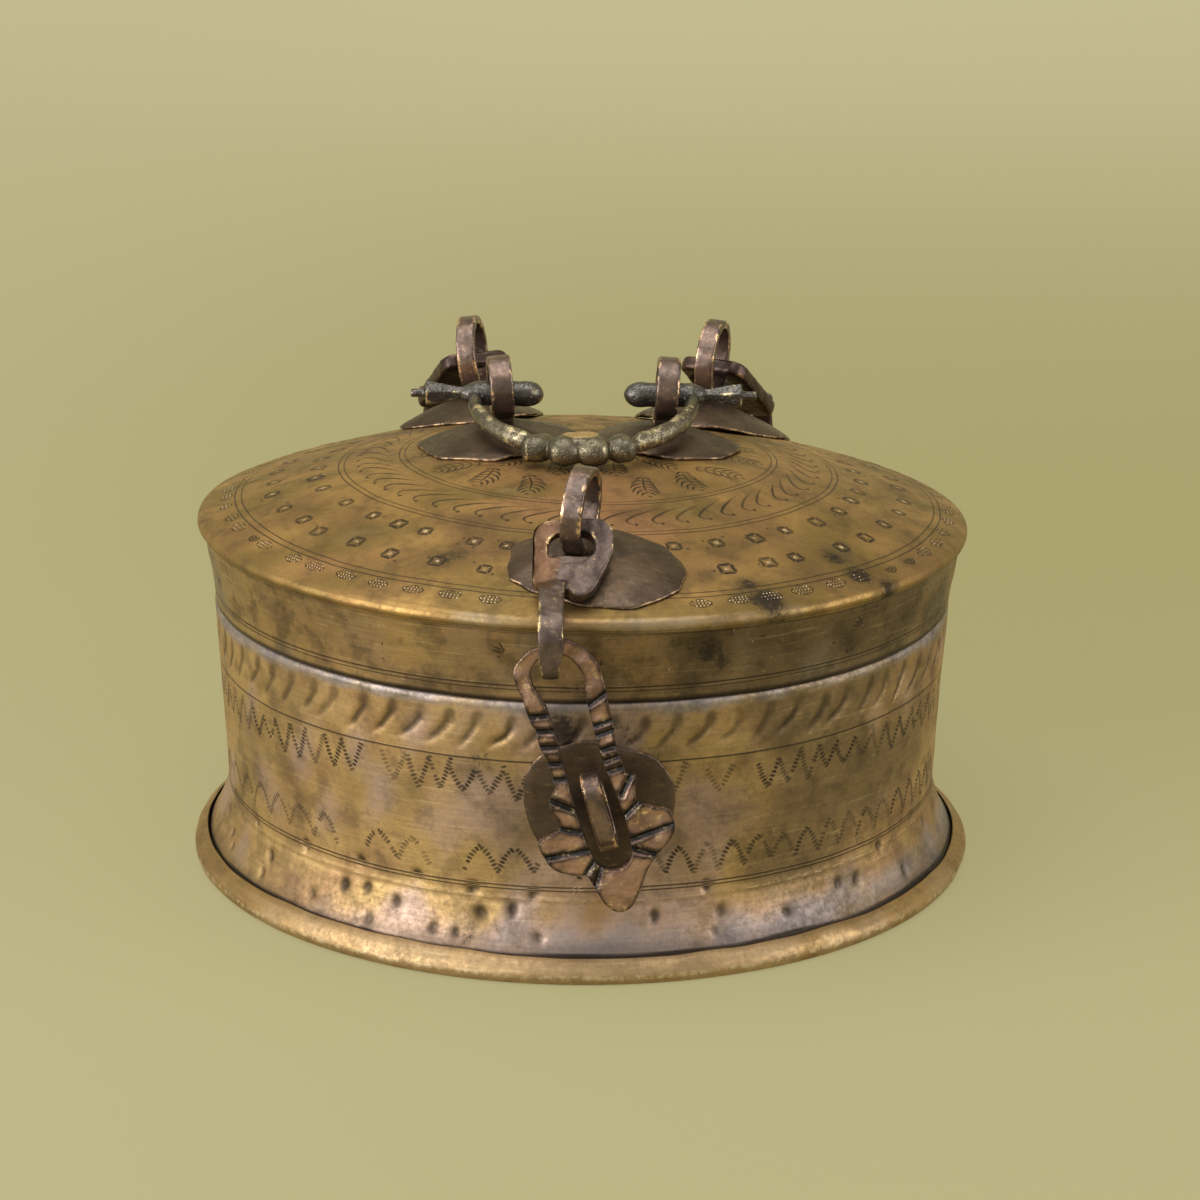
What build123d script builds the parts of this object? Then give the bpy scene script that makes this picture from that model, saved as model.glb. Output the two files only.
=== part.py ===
"""Hand-made sheet-brass paan box: hinged domed lid, bail handle, link and hasp.

Millimetres. The origin is the centre of the underside and +Z is up. The hasp faces -Y,
the hinges are at +Y, and +X is to the right of somebody who faces the hasp.
"""
from build123d import *
import math
import os

os.makedirs("parts", exist_ok=True)

# ---- driving dimensions ----------------------------------------------------------------
sheet = 0.9                     # body, base and lid sheets
joint_gap = 0.05                # between faces of one body that are soldered or clenched
seat_gap = 0.15                 # from a washer to the staple eye that stands on it
free_gap = 0.35                 # between pieces that move on each other

# the two sizes of the whole box
lid_radius = 82.5
shoulder_height = 57.7

# body drum, outside
lid_overhang = 3.45             # the lid's rim past the shoulder
shoulder_round = 1.5
shoulder_bow = 0.4
belly_inset = 1.05              # behind the shoulder
belly_drop = 19.7               # below it
waist_inset = 1.95
waist_height = 18.5
foot_flare = 4.2                # past the waist, where the foot goes under the folded rim
foot_height = 5.2
foot_start, foot_start_lift = 0.8, 1.0
foot_sweep, foot_sweep_lift = 1.9, 3.4
foot_tuck, foot_tuck_drop = 1.7, 1.8    # how far the flare goes on inside the fold

# base plate, its edge folded up over the foot
rim_flare = 3.7                 # bulge past the foot
rim_bulge_height = 2.0
rim_bulge_round = 0.35
rim_lip_cover = 0.7             # folded edge past the foot
rim_lip_height = 5.9
rim_sole_inset = 1.1            # flat underside inside the bulge

# neck ring
neck_sheet = 0.8
neck_clearance = 1.2            # to the skirt's mouth, so that the lid's front swings clear
neck_rise = 7.0                 # above the shoulder
neck_depth = 10.0               # below it

# lid
skirt_gap = 0.4                 # skirt's lower edge above the shoulder
skirt_inset = 0.05              # its mouth inside the shoulder
skirt_bow = 0.4                 # outward bow of the skirt between its edges
skirt_depth = 14.5              # from its mouth to the lower edge of the fold that clasps it
lid_fold_depth = 1.7
dome_edge_inset = 1.9
dome_edge_rise = 3.5            # above the fold's lower edge
dome_edge_drop = 1.7
dome_rise = 14.7

# staples: flat strip bent into an eye, both legs through the sheet and clenched inside
strip = 1.9
split = 0.3
clench = 8.0
clench_gap = 0.35
bail_eye, bail_strip_width = 13.5, 5.0
hinge_eye, hinge_strip_width = 18.0, 4.3
hasp_eye, hasp_strip_width = 17.6, 4.3

# washers: thin cones on the lid, curved plates on the drum, all with a snipped edge
washer_sheet = 0.8
washer_facets = 11
bail_washer_radius, bail_washer_rise = 16.3, 2.3
hinge_washer_radius, hinge_washer_rise = 16.3, 2.7
hasp_washer_radius, hasp_washer_rise = 16.5, 0.75
hasp_washer_shift = 3.0         # its hole was punched off centre
lock_washer_radius = 14.8
hinge_wall_washer_radius = 10.8

# bail handle
bail_foot_y = 6.7
bail_foot_spacing = 34.4        # between the feet of its two staples
bail_left_angle, bail_right_angle = 96.0, 90.0
bail_pin_radius = 2.7
bail_pin_inside = 7.8           # blunt end of each pin, inwards from its staple
bail_arm_outside = 6.0          # arms, outwards from the staples
bail_arm_straight = 3.3
bail_bar_radius = 1.55
grip_bead_radius = 2.75
grip_bead_step = 5.5
grip_boss_width, grip_boss_depth, grip_boss_height = 8.0, 5.2, 0.5
finial_neck_radius = 1.6
finial_radius = 2.45
finial_length = 10.8            # from the arm
tenon_radius = 1.0
tenon_length = 3.2

# hinges
hinge_heading = 2.0             # degrees that the whole hinge line is turned about Z
hinge_foot_x = 25.8
hinge_foot_inset = 35.6         # inside the lid's rim
hinge_left_angle, hinge_right_angle = 83.0, 75.0
hinge_splay_angle = 25.0        # that each link spreads outwards
hinge_plate_clear = 2.2         # middle of the plate's end above the dome
hinge_plate_length = 23.5
hinge_spread = 40.54            # hooks each side of the hinge direction
hinge_wall_drop = 12.7          # wall staples below the shoulder
hinge_wall_eye, hinge_wall_strip_width = 11.0, 4.0
hinge_hook_width, hinge_hook_inner = 4.5, 2.75
hinge_strap_rise = 3.9          # corner of the strap above the dome's edge

# link at the front
hasp_foot_inset = 21.3          # inside the lid's rim
hasp_staple_angle = 76.0
link_thickness = 3.0
link_bar = 3.0                  # the bar of the link that lies in the staple's eye
link_width = 15.8
link_shift = 1.4                # plate centre to the left of the staple
link_plate_clear = 0.9          # middle of the plate's end above the dome
link_plate_length = 15.0
link_hole_width, link_hole_length = 9.0, 7.4
hook_width, hook_strip, hook_inner = 5.6, 1.9, 3.0
hook_offset = 5.5               # strap to the left of the staple
hook_angle = 205.0              # that the hook curls
strap_rise = 1.2                # corner of the strap above the dome's edge
strap_bend = 5.5
strap_root = 11.5               # where the strap leaves the plate, from the bar

# hasp
hasp_pivot_out = 5.5            # past the lid's rim
hasp_pivot_below = 5.6          # below the dome's edge
hasp_pivot_drop = 0.35          # pivot below the middle of the top bar
hasp_lean_angle = 2.8           # that it hangs away from the box
hasp_tilt_angle = 16.0          # that it leans sideways
hasp_thickness = 2.6
hasp_bar = 2.5
hasp_leg = 3.1
hasp_slot_half = 4.1
hasp_slot_end = 45.4
hasp_eye_half = 5.9
hasp_eye_depth = 5.2
hasp_neck_depth = 10.2
hasp_barb_depth, hasp_barb = 26.6, 1.9
hasp_lobe_depth, hasp_lobe_half = 35.8, 13.2
hasp_lobe_end = 45.6
hasp_lobe_round, hasp_lobe_drop = 1.0, 5.4
hasp_length = 54.2
hasp_tip_half, hasp_tip_depth = 1.6, 1.0

# staple on the drum that the hasp drops over
lock_drop = 33.5                # below the hasp's pivot
lock_tall, lock_reach = 16.4, 9.9
lock_strip_width = 3.8

# ---- values worked out from them -------------------------------------------------------
shoulder_radius = lid_radius - lid_overhang
belly_radius = shoulder_radius - belly_inset
belly_height = shoulder_height - belly_drop
waist_radius = shoulder_radius - waist_inset
foot_radius = waist_radius + foot_flare
rim_bulge_radius = foot_radius + rim_flare
rim_lip_radius = foot_radius + rim_lip_cover
rim_sole_radius = rim_bulge_radius - rim_sole_inset
skirt_bottom_radius = shoulder_radius - skirt_inset
lid_fold_height = shoulder_height + skirt_gap + skirt_depth
dome_edge_radius = lid_radius - dome_edge_inset
dome_edge_height = lid_fold_height + dome_edge_rise
dome_top_height = dome_edge_height + dome_rise
bail_arm_offset = bail_foot_spacing / 2 + bail_arm_outside
bail_pin_inner = bail_foot_spacing / 2 - bail_pin_inside
finial_end = bail_arm_offset + finial_length
tenon_end = finial_end + tenon_length
hinge_foot_y = lid_radius - hinge_foot_inset
hinge_wall_height = shoulder_height - hinge_wall_drop
hinge_strap_height = dome_edge_height + hinge_strap_rise
hasp_foot_y = lid_radius - hasp_foot_inset
strap_height = dome_edge_height + strap_rise
hasp_pivot_reach = lid_radius + hasp_pivot_out
hasp_pivot_height = dome_edge_height - hasp_pivot_below
lock_height = hasp_pivot_height - lock_drop
dome_sphere = (dome_edge_radius**2 + dome_rise**2) / (2 * dome_rise)
dome_centre = Vector(0, 0, dome_top_height - dome_sphere)
skirt_bottom_height = shoulder_height + skirt_gap
skirt_top_height = lid_fold_height + lid_fold_depth
skirt_top_radius = lid_radius - sheet - joint_gap
neck_outer = skirt_bottom_radius - sheet - neck_clearance
leg_pair = 2 * strip + split
wall_profile = [
    (shoulder_radius, shoulder_height - shoulder_round),
    (shoulder_radius - shoulder_bow, (shoulder_height + belly_height) / 2),
    (belly_radius, belly_height),
    (waist_radius, waist_height),
    (waist_radius + foot_start, (waist_height + foot_height) / 2 + foot_start_lift),
    (foot_radius - foot_sweep, foot_height + foot_sweep_lift),
    (foot_radius, foot_height),
    (foot_radius + foot_tuck, foot_height - foot_tuck_drop),
]


def direction(degrees):
    """Level unit vector at an angle from +X."""
    return Vector(math.cos(math.radians(degrees)), math.sin(math.radians(degrees)), 0)


def dome_point(x, y):
    """The point of the dome's outside above (x, y)."""
    rise = math.sqrt(dome_sphere**2 - x**2 - y**2)
    return Vector(x, y, dome_centre.Z + rise)


def dome_normal(x, y):
    return (dome_point(x, y) - dome_centre).normalized()


def wall_radius(height):
    """Outside radius of the drum at a height."""
    for (upper, top), (lower, bottom) in zip(wall_profile, wall_profile[1:]):
        if bottom <= height <= top:
            return lower + (upper - lower) * (height - bottom) / (top - bottom)
    return shoulder_radius


def upright(azimuth, offset=0.0):
    """Upright plane: local x outwards along azimuth, local y up, moved sideways by offset."""
    out = direction(azimuth)
    side = direction(azimuth - 90)
    return Plane(origin=side * offset, x_dir=out, z_dir=side)


def hinge_point(x, y, z=0.0):
    """A point of the hinge group, turned with the hinge line."""
    out, side = direction(90 - hinge_heading), direction(-hinge_heading)
    return side * x + out * y + Vector(0, 0, z)


def above_dome(point):
    """How far a point lies outside the dome's surface."""
    return (point - dome_centre).length - dome_sphere


def above_wall(point):
    """How far a point lies outside the drum's surface."""
    return math.hypot(point.X, point.Y) - wall_radius(point.Z)


class Foot:
    """Where a staple stands: a point of a sheet, its outward normal and the eye's plane."""

    def __init__(self, point, normal, along, above):
        self.point = point
        self.normal = normal
        self.along = (along - normal * along.dot(normal)).normalized()
        self.side = self.along.cross(normal)
        self.above = above

    def heights(self, reach, width):
        """How far the corners of a flat strip on the foot lie outside the sheet's surface."""
        ends = [self.point + self.along * reach, self.point - self.along * reach]
        return [self.above(end + self.side * edge) for end in ends for edge in (-width / 2, width / 2)]

    def eye_plane(self):
        return Plane(origin=self.point, x_dir=self.along, z_dir=self.side)

    def sheet_plane(self):
        return Plane(origin=self.point, x_dir=self.along, z_dir=self.normal)


def lid_foot(x, y, turn):
    return Foot(dome_point(x, y), dome_normal(x, y), direction(turn), above_dome)


def eye_centre(foot, rise, eye):
    return foot.point + foot.normal * (rise + eye / 2)


def plate_slope(centre, azimuth, length, clear):
    """Angle down at which a plate of a length from an eye's centre ends clear of the dome."""
    low, high = 0.0, 90.0
    for _ in range(40):
        slope = (low + high) / 2
        end = centre + direction(azimuth) * length * math.cos(math.radians(slope))
        end -= Vector(0, 0, length * math.sin(math.radians(slope)))
        low, high = (slope, high) if above_dome(end) > clear else (low, slope)
    return low


def cut_slot(foot, width):
    """Cut the slot for a staple's legs through the sheet under its foot."""
    with BuildSketch(foot.sheet_plane()) as slot:
        Rectangle(leg_pair + 2 * joint_gap, width + 2 * joint_gap)
    extrude(slot.sketch, amount=4 * sheet + strip, both=True, mode=Mode.SUBTRACT)


def staple_legs(foot, rise, width):
    """Legs from an eye's underside through the sheet, bent out under it and split."""
    bottom = -sheet - max(foot.heights(clench, width)) - clench_gap - strip
    with Locations((0, (rise + strip + bottom) / 2)):
        Rectangle(leg_pair, rise + strip - bottom)
    with Locations((0, bottom + strip / 2)):
        Rectangle(2 * clench, strip)
    with Locations((0, (rise + strip + bottom) / 2)):
        Rectangle(split, rise + strip - bottom + strip, mode=Mode.SUBTRACT)


def make_ring_staple(foot, rise, eye, width):
    with BuildPart() as staple:
        with BuildSketch(foot.eye_plane()):
            staple_legs(foot, rise, width)
            with Locations((0, rise + eye / 2)):
                Circle(eye / 2)
                Circle(eye / 2 - strip, mode=Mode.SUBTRACT)
            with Locations((0, rise + strip / 2)):
                Rectangle(split, 2 * strip, mode=Mode.SUBTRACT)
        extrude(amount=width / 2, both=True)
    return staple.part


def make_cone_washer(foot, radius, rise, width, shift=0.0):
    """Thin cone that sits on the dome all round its snipped edge."""
    centre = foot.point + foot.side * shift
    apex = lid_foot(centre.X, centre.Y, 0)
    reach = radius + washer_sheet
    sag = dome_sphere - math.sqrt(dome_sphere**2 - reach**2)
    with BuildPart() as washer:
        with BuildSketch(apex.eye_plane()):
            with BuildLine():
                Polyline((0, rise), (reach, joint_gap - sag), (reach, joint_gap - sag + washer_sheet),
                         (0, rise + washer_sheet), close=True)
            make_face()
        revolve(axis=Axis(apex.point, apex.normal))
        with BuildSketch(apex.sheet_plane()):
            RegularPolygon(radius, washer_facets)
        extrude(amount=reach, both=True, mode=Mode.INTERSECT)
        cut_slot(foot, width)
    return washer.part


def make_wall_washer(foot, azimuth, radius, width):
    """Curved plate that lies on the drum, with a snipped edge."""
    inner = [(r + joint_gap, z) for r, z in wall_profile]
    outer = [(r + washer_sheet, z) for r, z in inner]
    with BuildPart() as washer:
        with BuildSketch(upright(azimuth)):
            with BuildLine():
                Spline(*inner)
                Line(inner[-1], outer[-1])
                Spline(*reversed(outer))
                Line(outer[0], inner[0])
            make_face()
        revolve(axis=Axis.Z)
        with BuildSketch(foot.sheet_plane()):
            RegularPolygon(radius, washer_facets)
        extrude(amount=shoulder_radius / 4, both=True, mode=Mode.INTERSECT)
        cut_slot(foot, width)
    return washer.part


def bar_reach(foot, eye, eye_width, out, left):
    """How far from an eye's centre a link's bar can hang and stay free of the strip."""
    limit = eye / 2 - strip - free_gap
    reach = limit
    half_bar, half_plate = link_bar / 2, link_thickness / 2
    corners = [(a, b, edge) for a in (-half_bar, half_bar) for b in (-half_plate, half_plate)
               for edge in (-eye_width / 2, eye_width / 2)]
    for _ in range(8):
        worst = 0
        for a, b, edge in corners:
            corner = out * (reach + a) + out.cross(left) * b
            hit = corner + left * ((edge - corner.dot(foot.side)) / left.dot(foot.side))
            worst = max(worst, math.sqrt(hit.length**2 - edge**2))
        reach += limit - worst
    return reach


def make_link(foot, rise, eye, eye_width, plate_azimuth, slope, plate_length, plate_shift,
              strap_plane, strap_reach, strap_top, hook_z, inner, width):
    """Forged link: a plate with a hole, hung in a staple's eye, and a strap with a hook.

    strap_reach and hook_z place the middle of the hook in strap_plane.
    """
    centre = eye_centre(foot, rise, eye)
    out = direction(plate_azimuth) * math.cos(math.radians(slope))
    out -= Vector(0, 0, math.sin(math.radians(slope)))
    left = direction(plate_azimuth + 90)
    plate_plane = Plane(origin=centre + out * bar_reach(foot, eye, eye_width, out, left), x_dir=out,
                        z_dir=out.cross(left))
    crossing = foot.side.cross(plate_plane.z_dir).normalized() * (eye / 2 - strip / 2)
    hole_shift = crossing.dot(left) * math.copysign(1, crossing.dot(out))
    root = plate_plane.origin + out * strap_root * plate_length / link_plate_length
    level = strap_plane.to_local_coords(root)
    with BuildPart() as link:
        with BuildSketch(plate_plane):
            with Locations(((plate_length - link_bar / 2) / 2, plate_shift)):
                RectangleRounded(plate_length + link_bar / 2, link_width, link_bar)
            with Locations(((link_bar + link_hole_length) / 2, hole_shift)):
                RectangleRounded(link_hole_length, link_hole_width, link_bar, mode=Mode.SUBTRACT)
        extrude(amount=link_thickness / 2, both=True)
        with BuildLine(strap_plane) as route:
            shank = strap_reach + inner + hook_strip / 2
            strap = FilletPolyline((level.X, level.Y), (shank, strap_top), (shank, hook_z), radius=strap_bend)
            JernArc(start=strap @ 1, tangent=strap % 1, radius=inner + hook_strip / 2, arc_size=-hook_angle)
        with BuildSketch(Plane(origin=route.line @ 0, x_dir=strap_plane.z_dir, z_dir=route.line % 0)):
            Rectangle(width, hook_strip)
        sweep(path=route.line)
    return link.part


def keep(part, name):
    part.label = name
    export_step(part, f"parts/{name}.step")
    kept[name] = part


kept = {}

# ---- where the staples stand -----------------------------------------------------------
bail_feet = {
    "left": lid_foot(-bail_foot_spacing / 2, bail_foot_y, bail_left_angle),
    "right": lid_foot(bail_foot_spacing / 2, bail_foot_y, bail_right_angle),
}
hasp_foot = lid_foot(0, -hasp_foot_y, hasp_staple_angle)
bail_rise = bail_washer_rise + washer_sheet + seat_gap
hinge_rise = hinge_washer_rise + washer_sheet + seat_gap
hasp_rise = hasp_washer_rise + washer_sheet + seat_gap
wall_rise = joint_gap + washer_sheet + seat_gap
hinge_wall_centre = wall_radius(hinge_wall_height) + wall_rise + hinge_wall_eye / 2
hinge_wall_angle = math.degrees(math.asin(hinge_spread / hinge_wall_centre))
hinge_feet = {}
hinge_wall_feet = {}
for side, sign, turn in (("left", -1, hinge_left_angle), ("right", 1, hinge_right_angle)):
    place = hinge_point(sign * hinge_foot_x, hinge_foot_y)
    hinge_feet[side] = lid_foot(place.X, place.Y, turn)
    azimuth = 90 - hinge_heading - sign * hinge_wall_angle
    out = direction(azimuth)
    point = out * wall_radius(hinge_wall_height) + Vector(0, 0, hinge_wall_height)
    hinge_wall_feet[side] = Foot(point, out, direction(azimuth + 90), above_wall)
hinge_slope = plate_slope(eye_centre(hinge_feet["left"], hinge_rise, hinge_eye),
                          90 - hinge_heading + hinge_splay_angle, hinge_eye / 2 + hinge_plate_length,
                          hinge_plate_clear)
link_slope = plate_slope(eye_centre(hasp_foot, hasp_rise, hasp_eye), -90, hasp_eye / 2 + link_plate_length,
                         link_plate_clear)

hasp_x = -hook_offset
lock_x = hasp_x + (hasp_pivot_height - lock_height) * math.tan(math.radians(hasp_tilt_angle))
lock_y = -math.sqrt(wall_radius(lock_height) ** 2 - lock_x**2)
lock_along = Vector(math.sin(math.radians(hasp_tilt_angle)), 0, -math.cos(math.radians(hasp_tilt_angle)))
lock_foot = Foot(Vector(lock_x, lock_y, lock_height), Vector(0, -1, 0), lock_along, above_wall)
lock_rise = wall_rise - min(lock_foot.heights(lock_tall / 2, lock_strip_width))

# ---- body wall: one drum of sheet, shoulder turned in and foot flared out -----------------
with BuildPart() as body_wall:
    inner_wall = [(r - sheet, z) for r, z in wall_profile]
    with BuildSketch(upright(0)):
        with BuildLine():
            shoulder_edge = (shoulder_radius - shoulder_round, shoulder_height)
            Line((neck_outer + joint_gap, shoulder_height), shoulder_edge)
            Spline(shoulder_edge, wall_profile[0], tangents=((1, 0), (0, -1)))
            Spline(*wall_profile)
            Line(wall_profile[-1], inner_wall[-1])
            Spline(*reversed(inner_wall))
            under_shoulder = (shoulder_radius - shoulder_round - sheet / 2, shoulder_height - sheet)
            Spline(inner_wall[0], under_shoulder, tangents=((0, 1), (-1, 0)))
            Polyline(under_shoulder, (neck_outer + joint_gap, shoulder_height - sheet),
                     (neck_outer + joint_gap, shoulder_height))
        make_face()
    revolve(axis=Axis.Z)
    cut_slot(lock_foot, lock_strip_width)
    for foot in hinge_wall_feet.values():
        cut_slot(foot, hinge_wall_strip_width)
keep(body_wall.part, "body_wall")

# ---- base plate: a disc whose edge is folded up and over the foot ---------------------------
with BuildPart() as base_plate:
    fold = sheet * math.sqrt(0.5)
    with BuildSketch(upright(0)):
        with BuildLine():
            Line((0, 0), (rim_sole_radius, 0))
            Spline((rim_sole_radius, 0), (rim_bulge_radius, rim_bulge_height),
                   (rim_bulge_radius - rim_bulge_round, rim_bulge_height * 1.5),
                   (rim_lip_radius, rim_lip_height))
            Line((rim_lip_radius, rim_lip_height), (rim_lip_radius - fold, rim_lip_height - fold))
            Spline((rim_lip_radius - fold, rim_lip_height - fold),
                   (rim_bulge_radius - rim_bulge_round - fold, rim_bulge_height * 1.5 - fold / 2),
                   (rim_bulge_radius - sheet, rim_bulge_height), (rim_sole_radius - sheet, sheet))
            Polyline((rim_sole_radius - sheet, sheet), (0, sheet), (0, 0))
        make_face()
    revolve(axis=Axis.Z)
keep(base_plate.part, "base_plate")

# ---- neck ring: soldered inside the shoulder, the lid slips over it -------------------------
with BuildPart() as neck_ring:
    with BuildSketch(Plane.XY.offset(shoulder_height - neck_depth)):
        Circle(neck_outer)
        Circle(neck_outer - neck_sheet, mode=Mode.SUBTRACT)
    extrude(amount=neck_depth + neck_rise)
    fillet(neck_ring.edges().group_by(Axis.Z)[-1], radius=neck_sheet * 0.45)
keep(neck_ring.part, "neck_ring")

# ---- lid dome: a shallow bowl of sheet, its edge folded down round the skirt ----------------
with BuildPart() as lid_dome:
    edge = (dome_edge_radius, dome_edge_height)
    fold_top = dome_edge_height - dome_edge_drop
    edge_slope = math.asin(dome_edge_radius / dome_sphere)
    down_slope = (math.cos(edge_slope), -math.sin(edge_slope))
    under_sphere = dome_sphere - sheet
    under_edge = (under_sphere * math.sin(edge_slope), dome_centre.Z + under_sphere * math.cos(edge_slope))
    half = edge_slope / 2
    with BuildSketch(upright(0)):
        with BuildLine():
            ThreePointArc((0, dome_top_height),
                          (dome_sphere * math.sin(half), dome_centre.Z + dome_sphere * math.cos(half)), edge)
            Spline(edge, (lid_radius, fold_top), tangents=(down_slope, (0, -1)))
            Polyline((lid_radius, fold_top), (lid_radius, lid_fold_height),
                     (lid_radius - sheet, lid_fold_height), (lid_radius - sheet, fold_top))
            Spline((lid_radius - sheet, fold_top), under_edge,
                   tangents=((0, 1), (-down_slope[0], -down_slope[1])))
            ThreePointArc(under_edge,
                          (under_sphere * math.sin(half), dome_centre.Z + under_sphere * math.cos(half)),
                          (0, dome_top_height - sheet))
            Line((0, dome_top_height - sheet), (0, dome_top_height))
        make_face()
    revolve(axis=Axis.Z)
    for foot in bail_feet.values():
        cut_slot(foot, bail_strip_width)
    for foot in hinge_feet.values():
        cut_slot(foot, hinge_strip_width)
    cut_slot(hasp_foot, hasp_strip_width)
keep(lid_dome.part, "lid_dome")

# ---- lid skirt: the band that closes over the neck ------------------------------------------
with BuildPart() as lid_skirt:
    low, high = (skirt_bottom_radius, skirt_bottom_height), (skirt_top_radius, skirt_top_height)
    bow = ((low[0] + high[0]) / 2 + skirt_bow, (low[1] + high[1]) / 2)
    with BuildSketch(upright(0)):
        with BuildLine():
            ThreePointArc(low, bow, high)
            Line(high, (high[0] - sheet, high[1]))
            ThreePointArc((high[0] - sheet, high[1]), (bow[0] - sheet, bow[1]), (low[0] - sheet, low[1]))
            Line((low[0] - sheet, low[1]), low)
        make_face()
    revolve(axis=Axis.Z)
keep(lid_skirt.part, "lid_skirt")

# ---- staples and washers of the bail ---------------------------------------------------------
for side, foot in bail_feet.items():
    keep(make_ring_staple(foot, bail_rise, bail_eye, bail_strip_width), f"bail_staple_{side}")
    keep(make_cone_washer(foot, bail_washer_radius, bail_washer_rise, bail_strip_width),
         f"bail_washer_{side}")

# ---- bail: half ring with a beaded grip, a pin through each eye and a flared finial ----------
bail_y = eye_centre(bail_feet["right"], bail_rise, bail_eye).Y
bail_eye_z = eye_centre(bail_feet["right"], bail_rise, bail_eye).Z
bail_slack = bail_eye / 2 - strip - bail_pin_radius - free_gap
bail_slack -= bail_strip_width / 2 * math.tan(math.radians(abs(bail_left_angle - 90)))
bail_z = bail_eye_z - bail_slack
bail_reach = bail_arm_straight + bail_arm_offset
grip_floor = dome_point(0, bail_y - bail_reach).Z + grip_bead_radius + free_gap
bail_drop = math.asin((bail_z - grip_floor) / bail_reach)
bail_pivot = Vector(0, bail_y, bail_z)
bail_plane = Plane(origin=bail_pivot, x_dir=(1, 0, 0),
                   z_dir=(0, math.sin(bail_drop), -math.cos(bail_drop)))
with BuildPart() as bail:
    with BuildLine(bail_plane) as hoop:
        Line((bail_arm_offset, 0), (bail_arm_offset, bail_arm_straight))
        CenterArc((0, bail_arm_straight), bail_arm_offset, 0, 180)
        Line((-bail_arm_offset, bail_arm_straight), (-bail_arm_offset, 0))
    with BuildSketch(Plane(origin=hoop.line @ 0, z_dir=hoop.line % 0)):
        Circle(bail_bar_radius)
    sweep(path=hoop.line)
    for step in (-1.5, -0.5, 0.5, 1.5):
        angle = step * grip_bead_step / bail_arm_offset
        bead = (bail_arm_offset * math.sin(angle), bail_arm_straight + bail_arm_offset * math.cos(angle), 0)
        with Locations(bail_plane.from_local_coords(bead)):
            Sphere(grip_bead_radius)
    boss_plane = Plane(origin=bail_plane.from_local_coords((0, bail_reach, 0)), x_dir=(1, 0, 0),
                       z_dir=-bail_plane.z_dir)
    with BuildSketch(boss_plane):
        Ellipse(grip_boss_width / 2, grip_boss_depth / 2)
    extrude(amount=grip_bead_radius + grip_boss_height)
    with BuildSketch(Plane(origin=bail_pivot, x_dir=(1, 0, 0), z_dir=(0, -1, 0))):
        with BuildLine():
            pin_round = (bail_pin_inner + bail_pin_radius, bail_pin_radius)
            Line((bail_pin_inner, 0), (tenon_end, 0))
            Polyline((tenon_end, 0), (tenon_end, tenon_radius), (finial_end, tenon_radius),
                     (finial_end, finial_radius), (bail_arm_offset + 2 * bail_bar_radius, finial_neck_radius),
                     (bail_arm_offset, bail_pin_radius), pin_round)
            Spline(pin_round, (bail_pin_inner, 0), tangents=((-1, 0), (0, -1)))
        make_face()
    revolve(axis=Axis(bail_pivot, (1, 0, 0)))
    mirror(about=Plane.YZ)
keep(bail.part, "bail")

# ---- hinge staples, washers and links --------------------------------------------------------
hinge_strand = hinge_wall_centre * math.cos(math.radians(hinge_wall_angle)) + hinge_wall_eye / 2 - strip / 2
eye_hole = hinge_wall_eye / 2 - strip
strand_bend = eye_hole - math.sqrt(eye_hole**2 - (hinge_hook_width / 2) ** 2)
hinge_reach = hinge_strand - strand_bend / 2
for side, sign in (("left", -1), ("right", 1)):
    foot = hinge_feet[side]
    keep(make_ring_staple(foot, hinge_rise, hinge_eye, hinge_strip_width), f"hinge_lid_staple_{side}")
    keep(make_cone_washer(foot, hinge_washer_radius, hinge_washer_rise, hinge_strip_width),
         f"hinge_lid_washer_{side}")
    wall_foot = hinge_wall_feet[side]
    azimuth = 90 - hinge_heading - sign * hinge_wall_angle
    keep(make_ring_staple(wall_foot, wall_rise, hinge_wall_eye, hinge_wall_strip_width),
         f"hinge_wall_staple_{side}")
    keep(make_wall_washer(wall_foot, azimuth, hinge_wall_washer_radius, hinge_wall_strip_width),
         f"hinge_wall_washer_{side}")
    keep(make_link(foot=foot, rise=hinge_rise, eye=hinge_eye, eye_width=hinge_strip_width,
                   plate_azimuth=90 - hinge_heading - sign * hinge_splay_angle, slope=hinge_slope,
                   plate_length=hinge_plate_length, plate_shift=0.0,
                   strap_plane=upright(90 - hinge_heading, sign * hinge_spread), strap_reach=hinge_reach,
                   strap_top=hinge_strap_height, hook_z=hinge_wall_height, inner=hinge_hook_inner,
                   width=hinge_hook_width), f"hinge_link_{side}")

# ---- hasp link, its staple and washer --------------------------------------------------------
keep(make_ring_staple(hasp_foot, hasp_rise, hasp_eye, hasp_strip_width), "hasp_lid_staple")
keep(make_cone_washer(hasp_foot, hasp_washer_radius, hasp_washer_rise, hasp_strip_width,
                      hasp_washer_shift), "hasp_lid_washer")
keep(make_link(foot=hasp_foot, rise=hasp_rise, eye=hasp_eye, eye_width=hasp_strip_width,
               plate_azimuth=-90, slope=link_slope, plate_length=link_plate_length,
               plate_shift=-link_shift,
               strap_plane=upright(-90, hook_offset), strap_reach=hasp_pivot_reach,
               strap_top=strap_height, hook_z=hasp_pivot_height, inner=hook_inner,
               width=hook_width), "hasp_link")

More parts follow.
